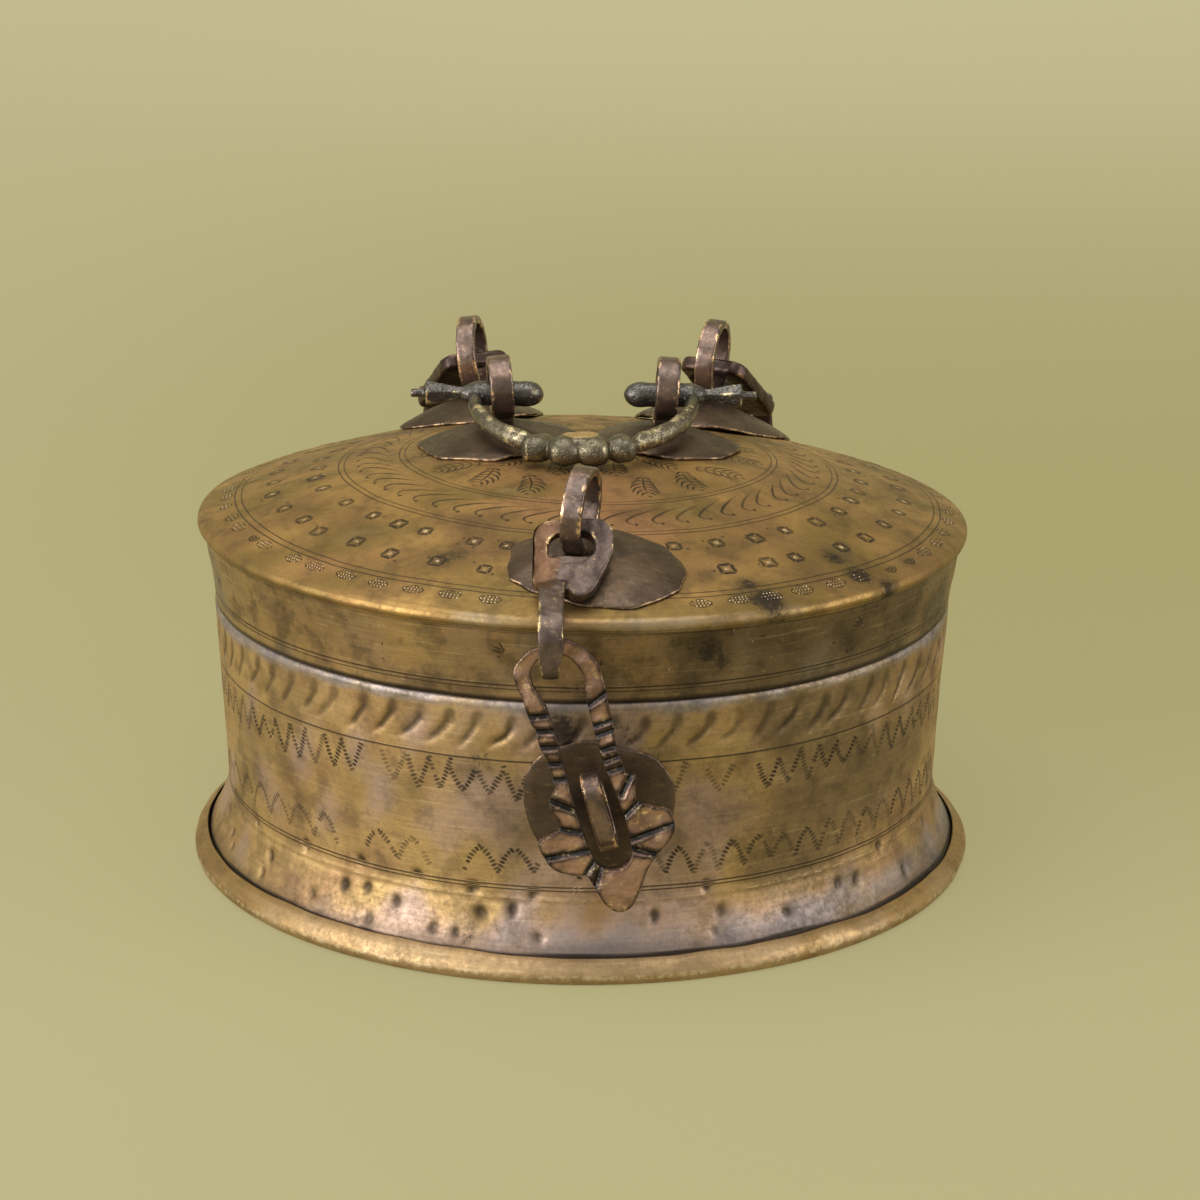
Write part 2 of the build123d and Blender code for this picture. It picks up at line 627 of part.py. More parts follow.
# ---- hasp: pear-shaped eye, long slot, barbs, two lobes and a point --------------------------
lean, tilt = math.radians(hasp_lean_angle), math.radians(hasp_tilt_angle)
hasp_normal = Vector(0, -math.cos(lean), math.sin(lean))
hasp_up = Vector(-math.sin(tilt), math.sin(lean) * math.cos(tilt), math.cos(lean) * math.cos(tilt))
hasp_pivot = Vector(hasp_x, -hasp_pivot_reach, hasp_pivot_height)
hasp_plane = Plane(origin=hasp_pivot + hasp_up * hasp_pivot_drop, x_dir=hasp_up.cross(hasp_normal),
                   z_dir=hasp_normal)
with BuildPart() as hasp:
    leg_out = hasp_slot_half + hasp_leg
    eye_out = hasp_eye_half + hasp_bar * 0.8
    with BuildSketch(hasp_plane):
        with BuildLine():
            Spline((0, hasp_bar / 2), (eye_out * 0.72, -hasp_bar * 0.2),
                   (eye_out, -hasp_eye_depth - hasp_bar * 0.4), (leg_out, -hasp_neck_depth),
                   tangents=((1, 0), (0, -1)))
            Polyline((leg_out, -hasp_neck_depth), (leg_out, -hasp_barb_depth + hasp_barb),
                     (leg_out + hasp_barb, -hasp_barb_depth),
                     (leg_out + hasp_barb / 2, -hasp_lobe_depth + hasp_leg),
                     (hasp_lobe_half, -hasp_lobe_depth))
            ThreePointArc((hasp_lobe_half, -hasp_lobe_depth),
                          (hasp_lobe_half - hasp_lobe_round, -hasp_lobe_depth - hasp_lobe_drop),
                          (leg_out - hasp_lobe_round, -hasp_lobe_end))
            Line((leg_out - hasp_lobe_round, -hasp_lobe_end), (hasp_tip_half, hasp_tip_depth - hasp_length))
            ThreePointArc((hasp_tip_half, hasp_tip_depth - hasp_length), (0, -hasp_length),
                          (-hasp_tip_half, hasp_tip_depth - hasp_length))
            mirror(about=Plane.YZ)
        make_face()
        with BuildLine():
            Spline((0, -hasp_bar / 2), (hasp_eye_half * 0.72, -hasp_bar), (hasp_eye_half, -hasp_eye_depth),
                   (hasp_slot_half, -hasp_neck_depth), tangents=((1, 0), (0, -1)))
            Line((hasp_slot_half, -hasp_neck_depth), (hasp_slot_half, hasp_slot_half - hasp_slot_end))
            ThreePointArc((hasp_slot_half, hasp_slot_half - hasp_slot_end), (0, -hasp_slot_end),
                          (-hasp_slot_half, hasp_slot_half - hasp_slot_end))
            mirror(about=Plane.YZ)
        make_face(mode=Mode.SUBTRACT)
    extrude(amount=hasp_thickness / 2, both=True)
keep(hasp.part, "hasp")

# ---- lock staple: a flattened eye on the drum for the hasp's slot ----------------------------
with BuildPart() as lock_staple:
    with BuildSketch(lock_foot.eye_plane()):
        staple_legs(lock_foot, lock_rise, lock_strip_width)
        with Locations((0, (lock_reach + lock_rise) / 2)):
            SlotOverall(lock_tall, lock_reach - lock_rise)
            SlotOverall(lock_tall - 2 * strip, lock_reach - lock_rise - 2 * strip, mode=Mode.SUBTRACT)
        with Locations((0, lock_rise + strip / 2)):
            Rectangle(split, 2 * strip, mode=Mode.SUBTRACT)
    extrude(amount=lock_strip_width / 2, both=True)
keep(lock_staple.part, "lock_staple")
keep(make_wall_washer(lock_foot, -90, lock_washer_radius, lock_strip_width), "lock_washer")

print("OK", len(kept), "nodes")
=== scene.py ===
"""Looks of the paan box: camera, light, surfaces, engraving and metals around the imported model.

Lengths are in millimetres up to the moment a mesh is written. Angle 0 is the front, -Y, and turns towards +X.
Colours are 8-bit screen values.
"""
import bpy
import math
import numpy as np
from mathutils import Matrix, Vector


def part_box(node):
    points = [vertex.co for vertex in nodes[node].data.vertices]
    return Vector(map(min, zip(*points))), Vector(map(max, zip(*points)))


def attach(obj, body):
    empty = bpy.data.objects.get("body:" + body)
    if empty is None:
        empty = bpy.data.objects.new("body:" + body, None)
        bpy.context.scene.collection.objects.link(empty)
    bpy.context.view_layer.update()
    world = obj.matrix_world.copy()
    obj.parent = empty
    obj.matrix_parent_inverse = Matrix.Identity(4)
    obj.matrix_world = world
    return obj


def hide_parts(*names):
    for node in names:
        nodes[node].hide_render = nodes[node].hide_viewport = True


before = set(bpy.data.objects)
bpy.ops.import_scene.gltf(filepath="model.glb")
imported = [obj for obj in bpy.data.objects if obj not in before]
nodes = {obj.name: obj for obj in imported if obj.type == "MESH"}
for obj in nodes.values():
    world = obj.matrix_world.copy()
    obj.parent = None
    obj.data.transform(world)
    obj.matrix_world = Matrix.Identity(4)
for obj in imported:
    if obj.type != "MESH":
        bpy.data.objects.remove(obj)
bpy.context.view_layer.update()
scene = bpy.context.scene
MM = 0.001

# ---- sizes repeated from the model ----
SHEET = 0.9
DOME_SPHERE, DOME_CENTRE = 228.31, -137.51
WALL = ((83.0, 3.4), (81.3, 5.2), (79.4, 8.6), (77.9, 12.9), (77.1, 18.5), (78.0, 38.0), (78.65, 47.9),
        (79.05, 56.2))
SHOULDER, NECK_RADIUS = 57.7, 76.95

# ---- forms of the sheet metal: radius and height of each profile ----
RIM = ((83.5, 0.0), (84.35, 0.45), (84.8, 1.3), (84.85, 2.2), (84.5, 3.1), (83.8, 3.95), (82.9, 4.75),
       (81.85, 5.3))
SKIRT = ((79.0, 58.1), (79.4, 62.0), (80.0, 66.0), (80.75, 70.0), (81.45, 73.0), (81.5, 74.3))
LIP = ((80.6, 76.1), (81.55, 75.7), (82.2, 75.1), (82.48, 74.3), (82.42, 73.8), (82.25, 73.35), (82.0, 72.95),
       (81.75, 72.75))
DOME_EDGE = 80.6                          # where the dome ends and its lip begins
RING_CENTRE = 1.1                         # the rings on the lid were struck a little off centre
SADDLE_TILT, SADDLE_DROP = -0.010, 2.4    # the lid has sagged towards its back
AROUND = 1500                             # points round each turned piece
WALL_ROUND, SKIRT_ROUND, SPOT_ROUND = 78.0, 80.0, 79    # radii that turn a length round into an angle
WAVE_TERMS, WAVE_PEAK = 9, 1.6            # cosines in a wave, and what brings their sum to about 1

# ---- camera ----
camera = bpy.data.objects.new("camera", bpy.data.cameras.new("camera"))
scene.collection.objects.link(camera)
camera.matrix_world = (Matrix.Translation((0.00389, -0.7254, 0.2786))
                       @ Matrix.Rotation(math.radians(72.82), 4, "X")
                       @ Matrix.Rotation(math.radians(0.5), 4, "Z"))
camera.data.sensor_width = 36
camera.data.lens = 105
camera.data.clip_start = 0.01
camera.data.dof.use_dof = False
scene.camera = camera


# ---- numeric helpers ----
def wave(points, size, seed):
    """Smooth irregular field, about -1 to 1, whose bumps are `size` across."""
    rng = np.random.default_rng(seed)
    out = np.zeros(points.shape[:-1])
    for _ in range(WAVE_TERMS):
        k = rng.normal(size=points.shape[-1])
        k *= 2 * math.pi / size * rng.uniform(0.35, 1.0) / np.linalg.norm(k)
        out += np.cos(points @ k + rng.uniform(0, 2 * math.pi))
    return out / math.sqrt(WAVE_TERMS / 2) / WAVE_PEAK


def ramp(x, low, high):
    t = np.clip((x - low) / (high - low), 0, 1)
    return t * t * (3 - 2 * t)


def bell(x, middle, width):
    return np.exp(-((x - middle) / width) ** 2)


def unit(x):
    return np.clip(x, 0, 1)


def curve_through(points, steps):
    """Points of a smooth curve through `points`, `steps` to each span (Catmull-Rom)."""
    first, last = 2 * np.array(points[0]) - points[1], 2 * np.array(points[-1]) - points[-2]
    p = np.array([first, *points, last], float)
    out = []
    for i in range(1, len(p) - 2):
        for t in np.arange(steps) / steps:
            out.append(0.5 * (2 * p[i] + (p[i + 1] - p[i - 1]) * t
                              + (2 * p[i - 1] - 5 * p[i] + 4 * p[i + 1] - p[i + 2]) * t * t
                              + (3 * p[i] - p[i - 1] - 3 * p[i + 1] + p[i + 2]) * t ** 3))
    out.append(p[-2])
    return np.array(out)


def even(points, step):
    """The same line with points about `step` apart."""
    points = np.asarray(points, float)
    length = np.r_[0, np.cumsum(np.linalg.norm(np.diff(points, axis=0), axis=1))]
    count = max(2, int(round(length[-1] / step)) + 1)
    at = np.linspace(0, length[-1], count)
    return np.stack([np.interp(at, length, points[:, i]) for i in range(points.shape[1])], 1)


# ---- colour zones and stains: soft masks over each surface ----
def degrees_round(p):
    return np.degrees(np.arctan2(p[..., 0], -p[..., 1]))


def spots(u, v, places):
    """Highest of several soft round spots, each given as its place, radius and strength."""
    out = np.zeros(u.shape)
    for a, b, radius, strength in places:
        out = np.maximum(out, strength * np.exp(-((u - a) ** 2 + (v - b) ** 2) / radius ** 2))
    return out


def drum_spots(p, places):
    """The same round the drum; each place is degrees from the front, and height."""
    return spots(np.radians(degrees_round(p)) * SPOT_ROUND, p[..., 2],
                 [(math.radians(a) * SPOT_ROUND, *rest) for a, *rest in places])


# stains: degrees from the front and height, or x and y on the dome, then radius and strength
WALL_SPOTS = (
    (-14, 44, 8, 0.55), (-12, 35, 5, 0.5), (6, 50, 9, 0.6), (-3, 52, 8, 0.5), (13, 51, 8, 0.5),
    (16, 43, 6, 0.5), (17, 38, 4, 0.5), (20, 31, 6, 0.45), (15, 25, 6, 0.42), (-9, 24, 5, 0.42),
    (27, 50, 7, 0.35), (-33, 39, 6, 0.35), (-47, 52, 8, 0.35), (48, 38, 6, 0.25), (-62, 34, 8, 0.35),
    (-27, 36, 5, 0.4), (-22, 41, 4, 0.4), (36, 12, 8, 0.5), (44, 9, 8, 0.5), (-16, 8, 7, 0.5),
    # the spots on this line and the first on the next lie round the lock behind the hasp: stain with the
    # hasp's painted shadow over it
    (12, 33, 9, 0.45), (-10, 30, 7, 0.4), (24, 44, 8, 0.4), (10, 44, 8, 0.6), (-2.5, 52, 4.5, 0.95),
    (-2, 48, 4, 0.8), (120, 40, 7, 0.5), (160, 28, 8, 0.5), (-150, 46, 7, 0.5), (-115, 22, 6, 0.45))
SKIRT_SPOTS = (
    (18.3, 68.0, 4.6, 0.78), (20.5, 65.3, 3.6, 0.72), (-20.8, 60.6, 3.5, 0.55), (27, 69, 4, 0.5),
    (42.1, 65.9, 5, 0.6), (36, 62, 5, 0.45), (10, 61, 5, 0.5), (62, 64, 6, 0.5), (8.4, 66.5, 5, 0.5),
    (55, 66, 4, 0.5), (-50, 66, 3, 0.4), (130, 67, 5, 0.6), (-140, 66, 5, 0.6))
DOME_SPOTS = (
    (36.8, -70.1, 5.5, 0.85), (33.0, -66.0, 4.5, 0.7), (55.9, -53.7, 5.0, 0.8), (61.9, -54.8, 4.0, 0.75),
    (51.1, -49.5, 4.0, 0.75), (45, -57, 6, 0.5), (-26, -59.2, 6.5, 0.62), (-19, -50, 6, 0.55),
    (-14, -56, 6, 0.58), (9, -44, 6, 0.45), (30, -54, 6, 0.52), (24, -66, 5, 0.5), (68, -40, 5, 0.45),
    (-45, -40, 5, 0.4), (40, 20, 7, 0.5), (-40, 30, 8, 0.5), (5, 60, 8, 0.6), (60, 30, 6, 0.4))


def wall_zones(p):
    d, z = degrees_round(p), p[..., 2]
    w, w2 = wave(p, 22, 401), wave(p, 9, 402)
    front = bell(d, 0, 30) + 0.5 * bell(d, -140, 30)
    rosy = 0.7 * front + 0.3 * w + 0.3 * w2 + 0.5 * ramp(-z, -16, -9) * bell(d, 5, 55)
    # olive: the bell at 36 degrees is a painted dark reflection on the right front; the rest is the metal's
    # tone
    olive = 0.9 * bell(d, 36, 13) + 0.3 * ramp(d, 14, 42) + 0.3 * w - 0.15 * w2
    # steel: the grey band under the shoulder is a painted reflection on its rounding; the grey near the foot
    # is the metal's tone
    steel = 0.75 * ramp(z, 53.5, 56.5) + 0.6 * ramp(-z, -16, -7) * (0.2 + ramp(d, -35, 15))
    return {"rosy": unit(rosy), "olive": unit(olive) * ramp(z, 8, 20),
            "steel": unit(steel + 0.15 * w2 - 0.15 * w - 0.1), "soot": drum_spots(p, WALL_SPOTS)}


def skirt_zones(p):
    d, z = degrees_round(p), p[..., 2]
    w = wave(p, 16, 403)
    return {"rosy": unit(0.35 * bell(d, -5, 30) + 0.3 * w),
            # olive: darker towards the right front, partly the metal's tone and partly a painted dark
            # reflection
            "olive": unit(bell(d, 32, 20) + 0.5 * ramp(d, 5, 45) + 0.35 * w),
            "steel": unit(0.12 - 0.35 * w + 0.15 * ramp(z, 66, 72)), "soot": drum_spots(p, SKIRT_SPOTS)}


def dome_zones(p):
    x, y = p[..., 0], p[..., 1]
    w, w2 = wave(p, 30, 404), wave(p, 11, 405)
    r = np.hypot(x, y)
    return {"rosy": unit(0.55 * bell(x, 14, 22) * bell(y, -38, 22) + 0.35 * w),
            "olive": unit(0.25 + 0.4 * w2 + 0.3 * ramp(r, 50, 75)),
            # steel: the pale band at the front of the lid's edge is a painted highlight
            "steel": unit(0.3 * ramp(r, 80.6, 81.8) * bell(degrees_round(p), 5, 40) + 0.15 * w2),
            "soot": spots(x, y, DOME_SPOTS)}


# ---- meshes ----
def finish_piece(name, mesh, material, body, node, attributes):
    """Puts a mesh on a body, in place of a node if one is named, with float attributes for its material."""
    for key, values in attributes.items():
        layer = mesh.attributes.new(key, "FLOAT", "POINT")
        layer.data.foreach_set("value", np.asarray(values, np.float32).ravel())
    mesh.materials.clear()
    mesh.materials.append(material)
    piece = bpy.data.objects.new(name, mesh)
    scene.collection.objects.link(piece)
    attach(piece, body)
    if node:
        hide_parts(node)


def quad_piece(name, verts, faces, material, body, node, attributes):
    mesh = bpy.data.meshes.new(name)
    verts, faces = np.asarray(verts, np.float32).reshape(-1, 3), np.asarray(faces, np.int32)
    mesh.vertices.add(len(verts))
    mesh.vertices.foreach_set("co", (verts * MM).ravel())
    mesh.loops.add(faces.size)
    mesh.loops.foreach_set("vertex_index", faces.ravel())
    mesh.polygons.add(len(faces))
    mesh.polygons.foreach_set("loop_start", np.arange(len(faces), dtype=np.int32) * 4)
    mesh.polygons.foreach_set("use_smooth", np.full(len(faces), True))
    mesh.update(calc_edges=True)
    mesh.validate()
    finish_piece(name, mesh, material, body, node, attributes)


def ring_faces(rings, around, closed=True):
    """Quads of `rings` closed loops of `around` points; closed joins the last loop to the first."""
    i = np.arange(rings if closed else rings - 1)[:, None]
    j = np.arange(around)[None, :]
    a, b = i * around, (i + 1) % rings * around
    k = (j + 1) % around
    return np.stack([a + j, a + k, b + k, b + j], -1).reshape(-1, 4)


def turn_profile(*runs):
    """Radii, heights and angles of a profile turned about Z; the profile is given in runs of points."""
    profile = np.concatenate([np.asarray(run, float) for run in runs])
    angle = np.arange(AROUND) * 2 * math.pi / AROUND
    r = profile[:, :1] + 0 * angle
    return r, profile[:, 1:] + 0 * angle, angle[None, :] + 0 * r


def to_xyz(r, z, angle):
    return np.stack([r * np.sin(angle), -r * np.cos(angle), z + 0 * r], -1)


# ---- surfaces, each with the unevenness of hand raising ----
def wall_radius(z):
    line = curve_through(WALL, 8)
    return np.interp(z, line[:, 1], line[:, 0])


def wall_offset(angle, z):
    p = to_xyz(WALL_ROUND + 0 * z, z, angle)
    return (0.13 * wave(p, 26, 1) + 0.06 * wave(p, 8, 2) + 0.025 * wave(p, 3.2, 3)) * ramp(z, 4, 9)


def dome_height(r):
    return DOME_CENTRE + np.sqrt(DOME_SPHERE ** 2 - np.minimum(r, DOME_EDGE) ** 2)


def lid_shift(x, y):
    """How much higher the sheet of the lid lies than in the model."""
    return SADDLE_TILT * x - SADDLE_DROP * ramp(y, -35, 65)


def dome_offset(x, y):
    p = np.stack([x, y, 0 * x], -1)
    r = np.hypot(x, y)
    rough = 0.11 * wave(p, 24, 5) + 0.045 * wave(p, 7, 6) + 0.015 * wave(p, 2.6, 7)
    return rough * ramp(-r, -82, -76) - 0.10 + lid_shift(x, y)


def skirt_radius(z):
    line = curve_through(SKIRT, 6)
    return np.interp(z, line[:, 1], line[:, 0])


def skirt_offset(angle, z):
    p = to_xyz(SKIRT_ROUND + 0 * z, z, angle)
    bulge = 0.35 * bell(np.degrees((angle + math.pi) % (2 * math.pi) - math.pi), 75, 30) * bell(z, 65, 5)
    return 0.09 * wave(p, 22, 8) + 0.035 * wave(p, 6, 9) - 0.10 + bulge


def skirt_shift(p):
    return lid_shift(p[..., 0], p[..., 1]) * ramp(p[..., 2], 60, 73)


def on_wall(u, z, lift):
    """Points on the drum; u is the distance round from the front."""
    angle, z = np.asarray(u) / WALL_ROUND, np.asarray(z, float)
    return to_xyz(wall_radius(z) + wall_offset(angle, z) + lift, z, angle)


def on_dome(x, y, lift):
    x, y = np.asarray(x, float), np.asarray(y, float)
    return np.stack([x, y, dome_height(np.hypot(x, y)) + dome_offset(x, y) + lift], -1)


def on_skirt(u, z, lift):
    angle, z = np.asarray(u) / SKIRT_ROUND, np.asarray(z, float)
    p = to_xyz(skirt_radius(z) + skirt_offset(angle, z) + lift, z, angle)
    p[..., 2] += skirt_shift(p)
    return p


# ---- materials ----
def linear(colour):
    """Linear colour of 8-bit screen values."""
    shares = [c / 255 for c in colour]
    return (*(c / 12.92 if c <= 0.04045 else ((c + 0.055) / 1.055) ** 2.4 for c in shares), 1)


class Nodes:
    """Builds a material's node tree; a tuple given as an input is a colour."""

    def __init__(self, name):
        self.material = bpy.data.materials.new(name)
        self.material.use_nodes = True
        self.tree = self.material.node_tree
        self.shader = self.tree.nodes["Principled BSDF"]

    def node(self, kind, **inputs):
        n = self.tree.nodes.new("ShaderNode" + kind)
        for key, value in inputs.items():
            self.link(value, n.inputs[key.replace("__", " ")])
        return n

    def link(self, value, socket):
        if hasattr(value, "is_output"):
            self.tree.links.new(value, socket)
        else:
            socket.default_value = linear(value) if isinstance(value, tuple) else value

    def noise(self, scale, detail=4, rough=0.55, stretch=(1, 1, 1), distort=0.0):
        at = self.node("TexCoord").outputs["Object"]
        m = self.node("Mapping", Vector=at)
        m.inputs["Scale"].default_value = tuple(s * scale / MM for s in stretch)
        n = self.node("TexNoise", Vector=m.outputs["Vector"], Scale=1.0, Detail=float(detail),
                      Roughness=rough, Distortion=distort)
        return n.outputs["Fac"]

    def range(self, value, low, high, out_low=0.0, out_high=1.0):
        n = self.node("MapRange", Value=value)
        n.interpolation_type = "SMOOTHSTEP"
        for key, v in (("From Min", low), ("From Max", high), ("To Min", out_low), ("To Max", out_high)):
            n.inputs[key].default_value = v
        return n.outputs["Result"]

    def math(self, op, a, b=0.0, clamp=False):
        n = self.node("Math")
        n.operation = op
        n.use_clamp = clamp
        self.link(a, n.inputs[0])
        self.link(b, n.inputs[1])
        return n.outputs[0]

    def mix(self, fac, a, b):
        n = self.node("Mix")
        n.data_type = "RGBA"
        self.link(fac, n.inputs["Factor"])
        self.link(a, n.inputs[6])
        self.link(b, n.inputs[7])
        return n.outputs[2]

    def attribute(self, name):
        n = self.node("Attribute")
        n.attribute_name = name
        return n.outputs["Fac"]


# the first colour darkens dirt and stains on the sheet metal and is also its painted shade; DARK does the
# same on the hardware
GRIME_AND_SHADE, DARK, VERDIGRIS = (50, 41, 33), (38, 32, 27), (92, 104, 84)
ALONG = (0.05, 0.05, 1.0)                 # stretches brush marks round the piece


def metal(name, main, second, dark, bright, zones=None, patch=0.05, brush=None, rough=(0.40, 0.60), bump=0.25,
          fine=0.8, pits=0.0, rub_and_glint=0.0, cloud=0.45):
    """Aged brass or bronze: patches, colour zones, mottling, brush marks, stains, grime and worn edges; the
    dark marks also carry painted shade, the bright ones painted highlights, and the rubbed speckles painted
    glints.
    """
    t = Nodes(name)
    patches = t.range(t.noise(patch, 5, 0.6, distort=0.6), 0.36, 0.64)
    colour = t.mix(patches, main, second)
    broken = t.noise(patch * 2.3, 5, 0.62, distort=0.4)
    for zone, tone in (zones or {}).items():
        mask = t.math("ADD", t.attribute(zone), t.math("MULTIPLY", t.math("SUBTRACT", broken, 0.5), 0.65))
        colour = t.mix(t.range(mask, 0.15, 0.85), colour, tone)
    mottle = t.noise(fine, 6, 0.7)
    colour = t.mix(t.range(mottle, 0.35, 0.72, 0.0, 0.45), colour, t.mix(0.6, colour, dark))
    cloudy = t.noise(0.16, 5, 0.6)
    colour = t.mix(t.range(cloudy, 0.46, 0.66, 0.0, cloud), colour, t.mix(0.7, colour, dark))
    flecks = t.noise(0.7, 7, 0.78, distort=0.4)
    colour = t.mix(t.range(flecks, 0.40, 0.30, 0.0, cloud * 0.7), colour, bright)
    colour = t.mix(t.range(flecks, 0.58, 0.70, 0.0, cloud), colour, t.mix(0.75, colour, dark))
    colour = t.mix(t.range(t.noise(2.4, 3, 0.6), 0.66, 0.76, 0.0, 0.45), colour, dark)
    roughness = t.range(mottle, 0.3, 0.7, *rough)
    height = t.math("MULTIPLY", mottle, 0.35)
    if brush:
        scale, stretch, strength = brush
        streak = t.noise(scale, 5, 0.65, stretch)
        colour = t.mix(t.range(streak, 0.35, 0.75, 0.0, strength), colour, t.mix(0.5, colour, dark))
        colour = t.mix(t.range(streak, 0.30, 0.42, strength * 0.5, 0.0), colour, bright)
        height = t.math("ADD", height, t.math("MULTIPLY", streak, 0.45))
    if pits:
        pit = t.range(t.noise(1.9, 2, 0.5), 0.30, 0.46, 1.0, 0.0)
        colour = t.mix(t.math("MULTIPLY", pit, pits), colour, dark)
        height = t.math("SUBTRACT", height, t.math("MULTIPLY", pit, 0.6))
    # soot darkens stains; behind the hasp it is stain with painted shadow, and on the hasp's face towards the
    # wall it is painted shade
    soot = t.attribute("soot")
    blot = t.range(t.math("ADD", t.noise(0.85, 7, 0.7, distort=0.6), soot), 0.98, 1.28, 0.0, 0.88)
    stain = t.mix(t.range(t.noise(0.9, 4, 0.6), 0.56, 0.7, 0.0, 0.45), dark, VERDIGRIS)
    colour = t.mix(t.math("MULTIPLY", soot, 0.62), colour, dark)
    colour = t.mix(blot, colour, stain)
    roughness = t.math("ADD", roughness, t.math("MULTIPLY", blot, 0.15))
    # grime darkens dirt in cuts and hollows, and is painted shade in crevices, in dents and under edges
    colour = t.mix(t.math("MULTIPLY", t.attribute("grime"), 0.92, True), colour, dark)
    # rubbed bright speckles, which also stand in for painted glints
    if rub_and_glint:
        colour = t.mix(t.range(t.noise(0.5, 8, 0.85), 0.55, 0.66, 0.0, rub_and_glint), colour, bright)
    # wear brightens worn edges, and is a painted highlight along the lid's lip, the base's rim and the drum's
    # shoulder
    wear = t.math("MULTIPLY", t.attribute("wear"), t.range(t.noise(0.55, 5, 0.7), 0.36, 0.60, 0.15, 1.0))
    worn_and_highlit = t.range(wear, 0.2, 0.8)
    colour = t.mix(worn_and_highlit, colour, bright)
    roughness = t.math("SUBTRACT", roughness, t.math("MULTIPLY", worn_and_highlit, 0.12))
    b = t.node("Bump", Height=height, Distance=0.0004, Strength=bump)
    t.link(colour, t.shader.inputs["Base Color"])
    t.link(roughness, t.shader.inputs["Roughness"])
    t.link(b.outputs["Normal"], t.shader.inputs["Normal"])
    t.shader.inputs["Metallic"].default_value = 0.85
    t.shader.inputs["Specular IOR Level"].default_value = 0.5
    return t.material


# drum: the steel tone is also the painted reflection under the shoulder, the olive also a painted dark
# reflection on the right front
wall_metal = metal("drum_brass", (194, 161, 107), (168, 134, 94), GRIME_AND_SHADE, (226, 200, 156),
                   {"rosy": (190, 160, 138), "olive": (138, 114, 78), "steel": (158, 146, 142)},
                   0.045, (1.3, ALONG, 0.32), cloud=0.5, rough=(0.44, 0.62))
# lid: the steel tone is also the painted highlight at the front of its edge
dome_metal = metal("lid_brass", (180, 143, 84), (152, 118, 74), GRIME_AND_SHADE, (224, 200, 168),
                   {"rosy": (176, 130, 88), "olive": (146, 118, 66), "steel": (196, 178, 156)}, 0.05, None,
                   fine=0.5)
# skirt: the olive is also a painted dark reflection on the right front
skirt_metal = metal("skirt_brass", (176, 144, 92), (156, 126, 88), GRIME_AND_SHADE, (222, 196, 152),
                    {"rosy": (172, 142, 114), "olive": (118, 98, 70), "steel": (148, 130, 106)}, 0.05,
                    (1.3, ALONG, 0.4), cloud=0.7, rough=(0.38, 0.58))
rim_metal = metal("rim_brass", (176, 144, 92), (160, 128, 82), GRIME_AND_SHADE, (236, 216, 180),
                  {"rosy": (184, 154, 112), "olive": (162, 134, 84)}, 0.06, (0.9, ALONG, 0.3), cloud=0.3)
washer_metal = metal("washer_brass", (114, 93, 73), (92, 76, 64), DARK, (202, 168, 128), None, 0.09,
                     (1.1, (0.2, 1.0, 0.6), 0.4), rough=(0.36, 0.55))
staple_metal = metal("staple_bronze", (138, 114, 100), (102, 87, 80), DARK, (222, 184, 142), None, 0.12,
                     rough=(0.24, 0.42), rub_and_glint=0.35, fine=1.1, bump=0.35)
link_metal = metal("link_bronze", (88, 68, 58), (72, 58, 54), DARK, (176, 140, 108), None, 0.10,
                   rough=(0.26, 0.44), fine=1.1, rub_and_glint=0.15, bump=0.35)
plate_metal = metal("link_plate_bronze", (110, 93, 84), (88, 73, 67), DARK, (216, 188, 138),
                    {"rosy": (116, 84, 60)}, 0.12, rough=(0.26, 0.5), fine=1.0, rub_and_glint=0.45, bump=0.6)
hasp_metal = metal("hasp_brass", (198, 158, 134), (158, 122, 102), DARK, (238, 208, 150),
                   {"steel": (58, 55, 58)}, 0.10, (1.4, (0.5, 0.5, 1.0), 0.4), rough=(0.24, 0.46), rub_and_glint=0.6,
                   bump=0.5, cloud=0.35)
bail_metal = metal("bail_bronze", (124, 114, 92), (104, 98, 80), DARK, (226, 208, 164),
                   {"steel": (96, 92, 86), "rosy": (214, 176, 122)}, 0.12, rough=(0.22, 0.40), fine=1.2,
                   pits=0.35, rub_and_glint=0.3, bump=0.45)
neck_metal = metal("neck_brass", (186, 154, 92), (160, 130, 82), GRIME_AND_SHADE, (226, 200, 150), None, 0.06,
                   (1.0, ALONG, 0.4))
SURFACES = {"wall": (on_wall, wall_zones, wall_metal), "skirt": (on_skirt, skirt_zones, skirt_metal),
            "dome": (on_dome, dome_zones, dome_metal)}


# ---- drum ----
STEP = 2 * math.pi * WALL_ROUND / AROUND
FRONT_DENTS = ((-46.8, 17.4), (-35.1, 18.2), (-24.9, 17.7), (-16, 16.7), (-6.8, 16.6), (-9.8, 13.2),
               (-14.5, 11.8), (-28.2, 11.5), (-33.6, 13), (-37.9, 12.4), (-21.6, 7.9), (-32.3, 7.1),
               (-55.4, 11.6), (42.7, 11.8), (53.4, 15.5), (46.7, 11.4), (19.3, 17), (21.3, 11.7),
               (11.1, 12))


def window(heights, u0, u1, z0, z1):
    """Rows and columns of the drum's grid inside a patch, with the distance round and the height of each."""
    cols = np.arange(math.floor(u0 / STEP), math.ceil(u1 / STEP) + 1)
    rows = np.where((heights > z0) & (heights < z1))[0]
    u, z = np.meshgrid(cols * STEP, heights[rows])
    return np.ix_(rows, cols % AROUND), u, z


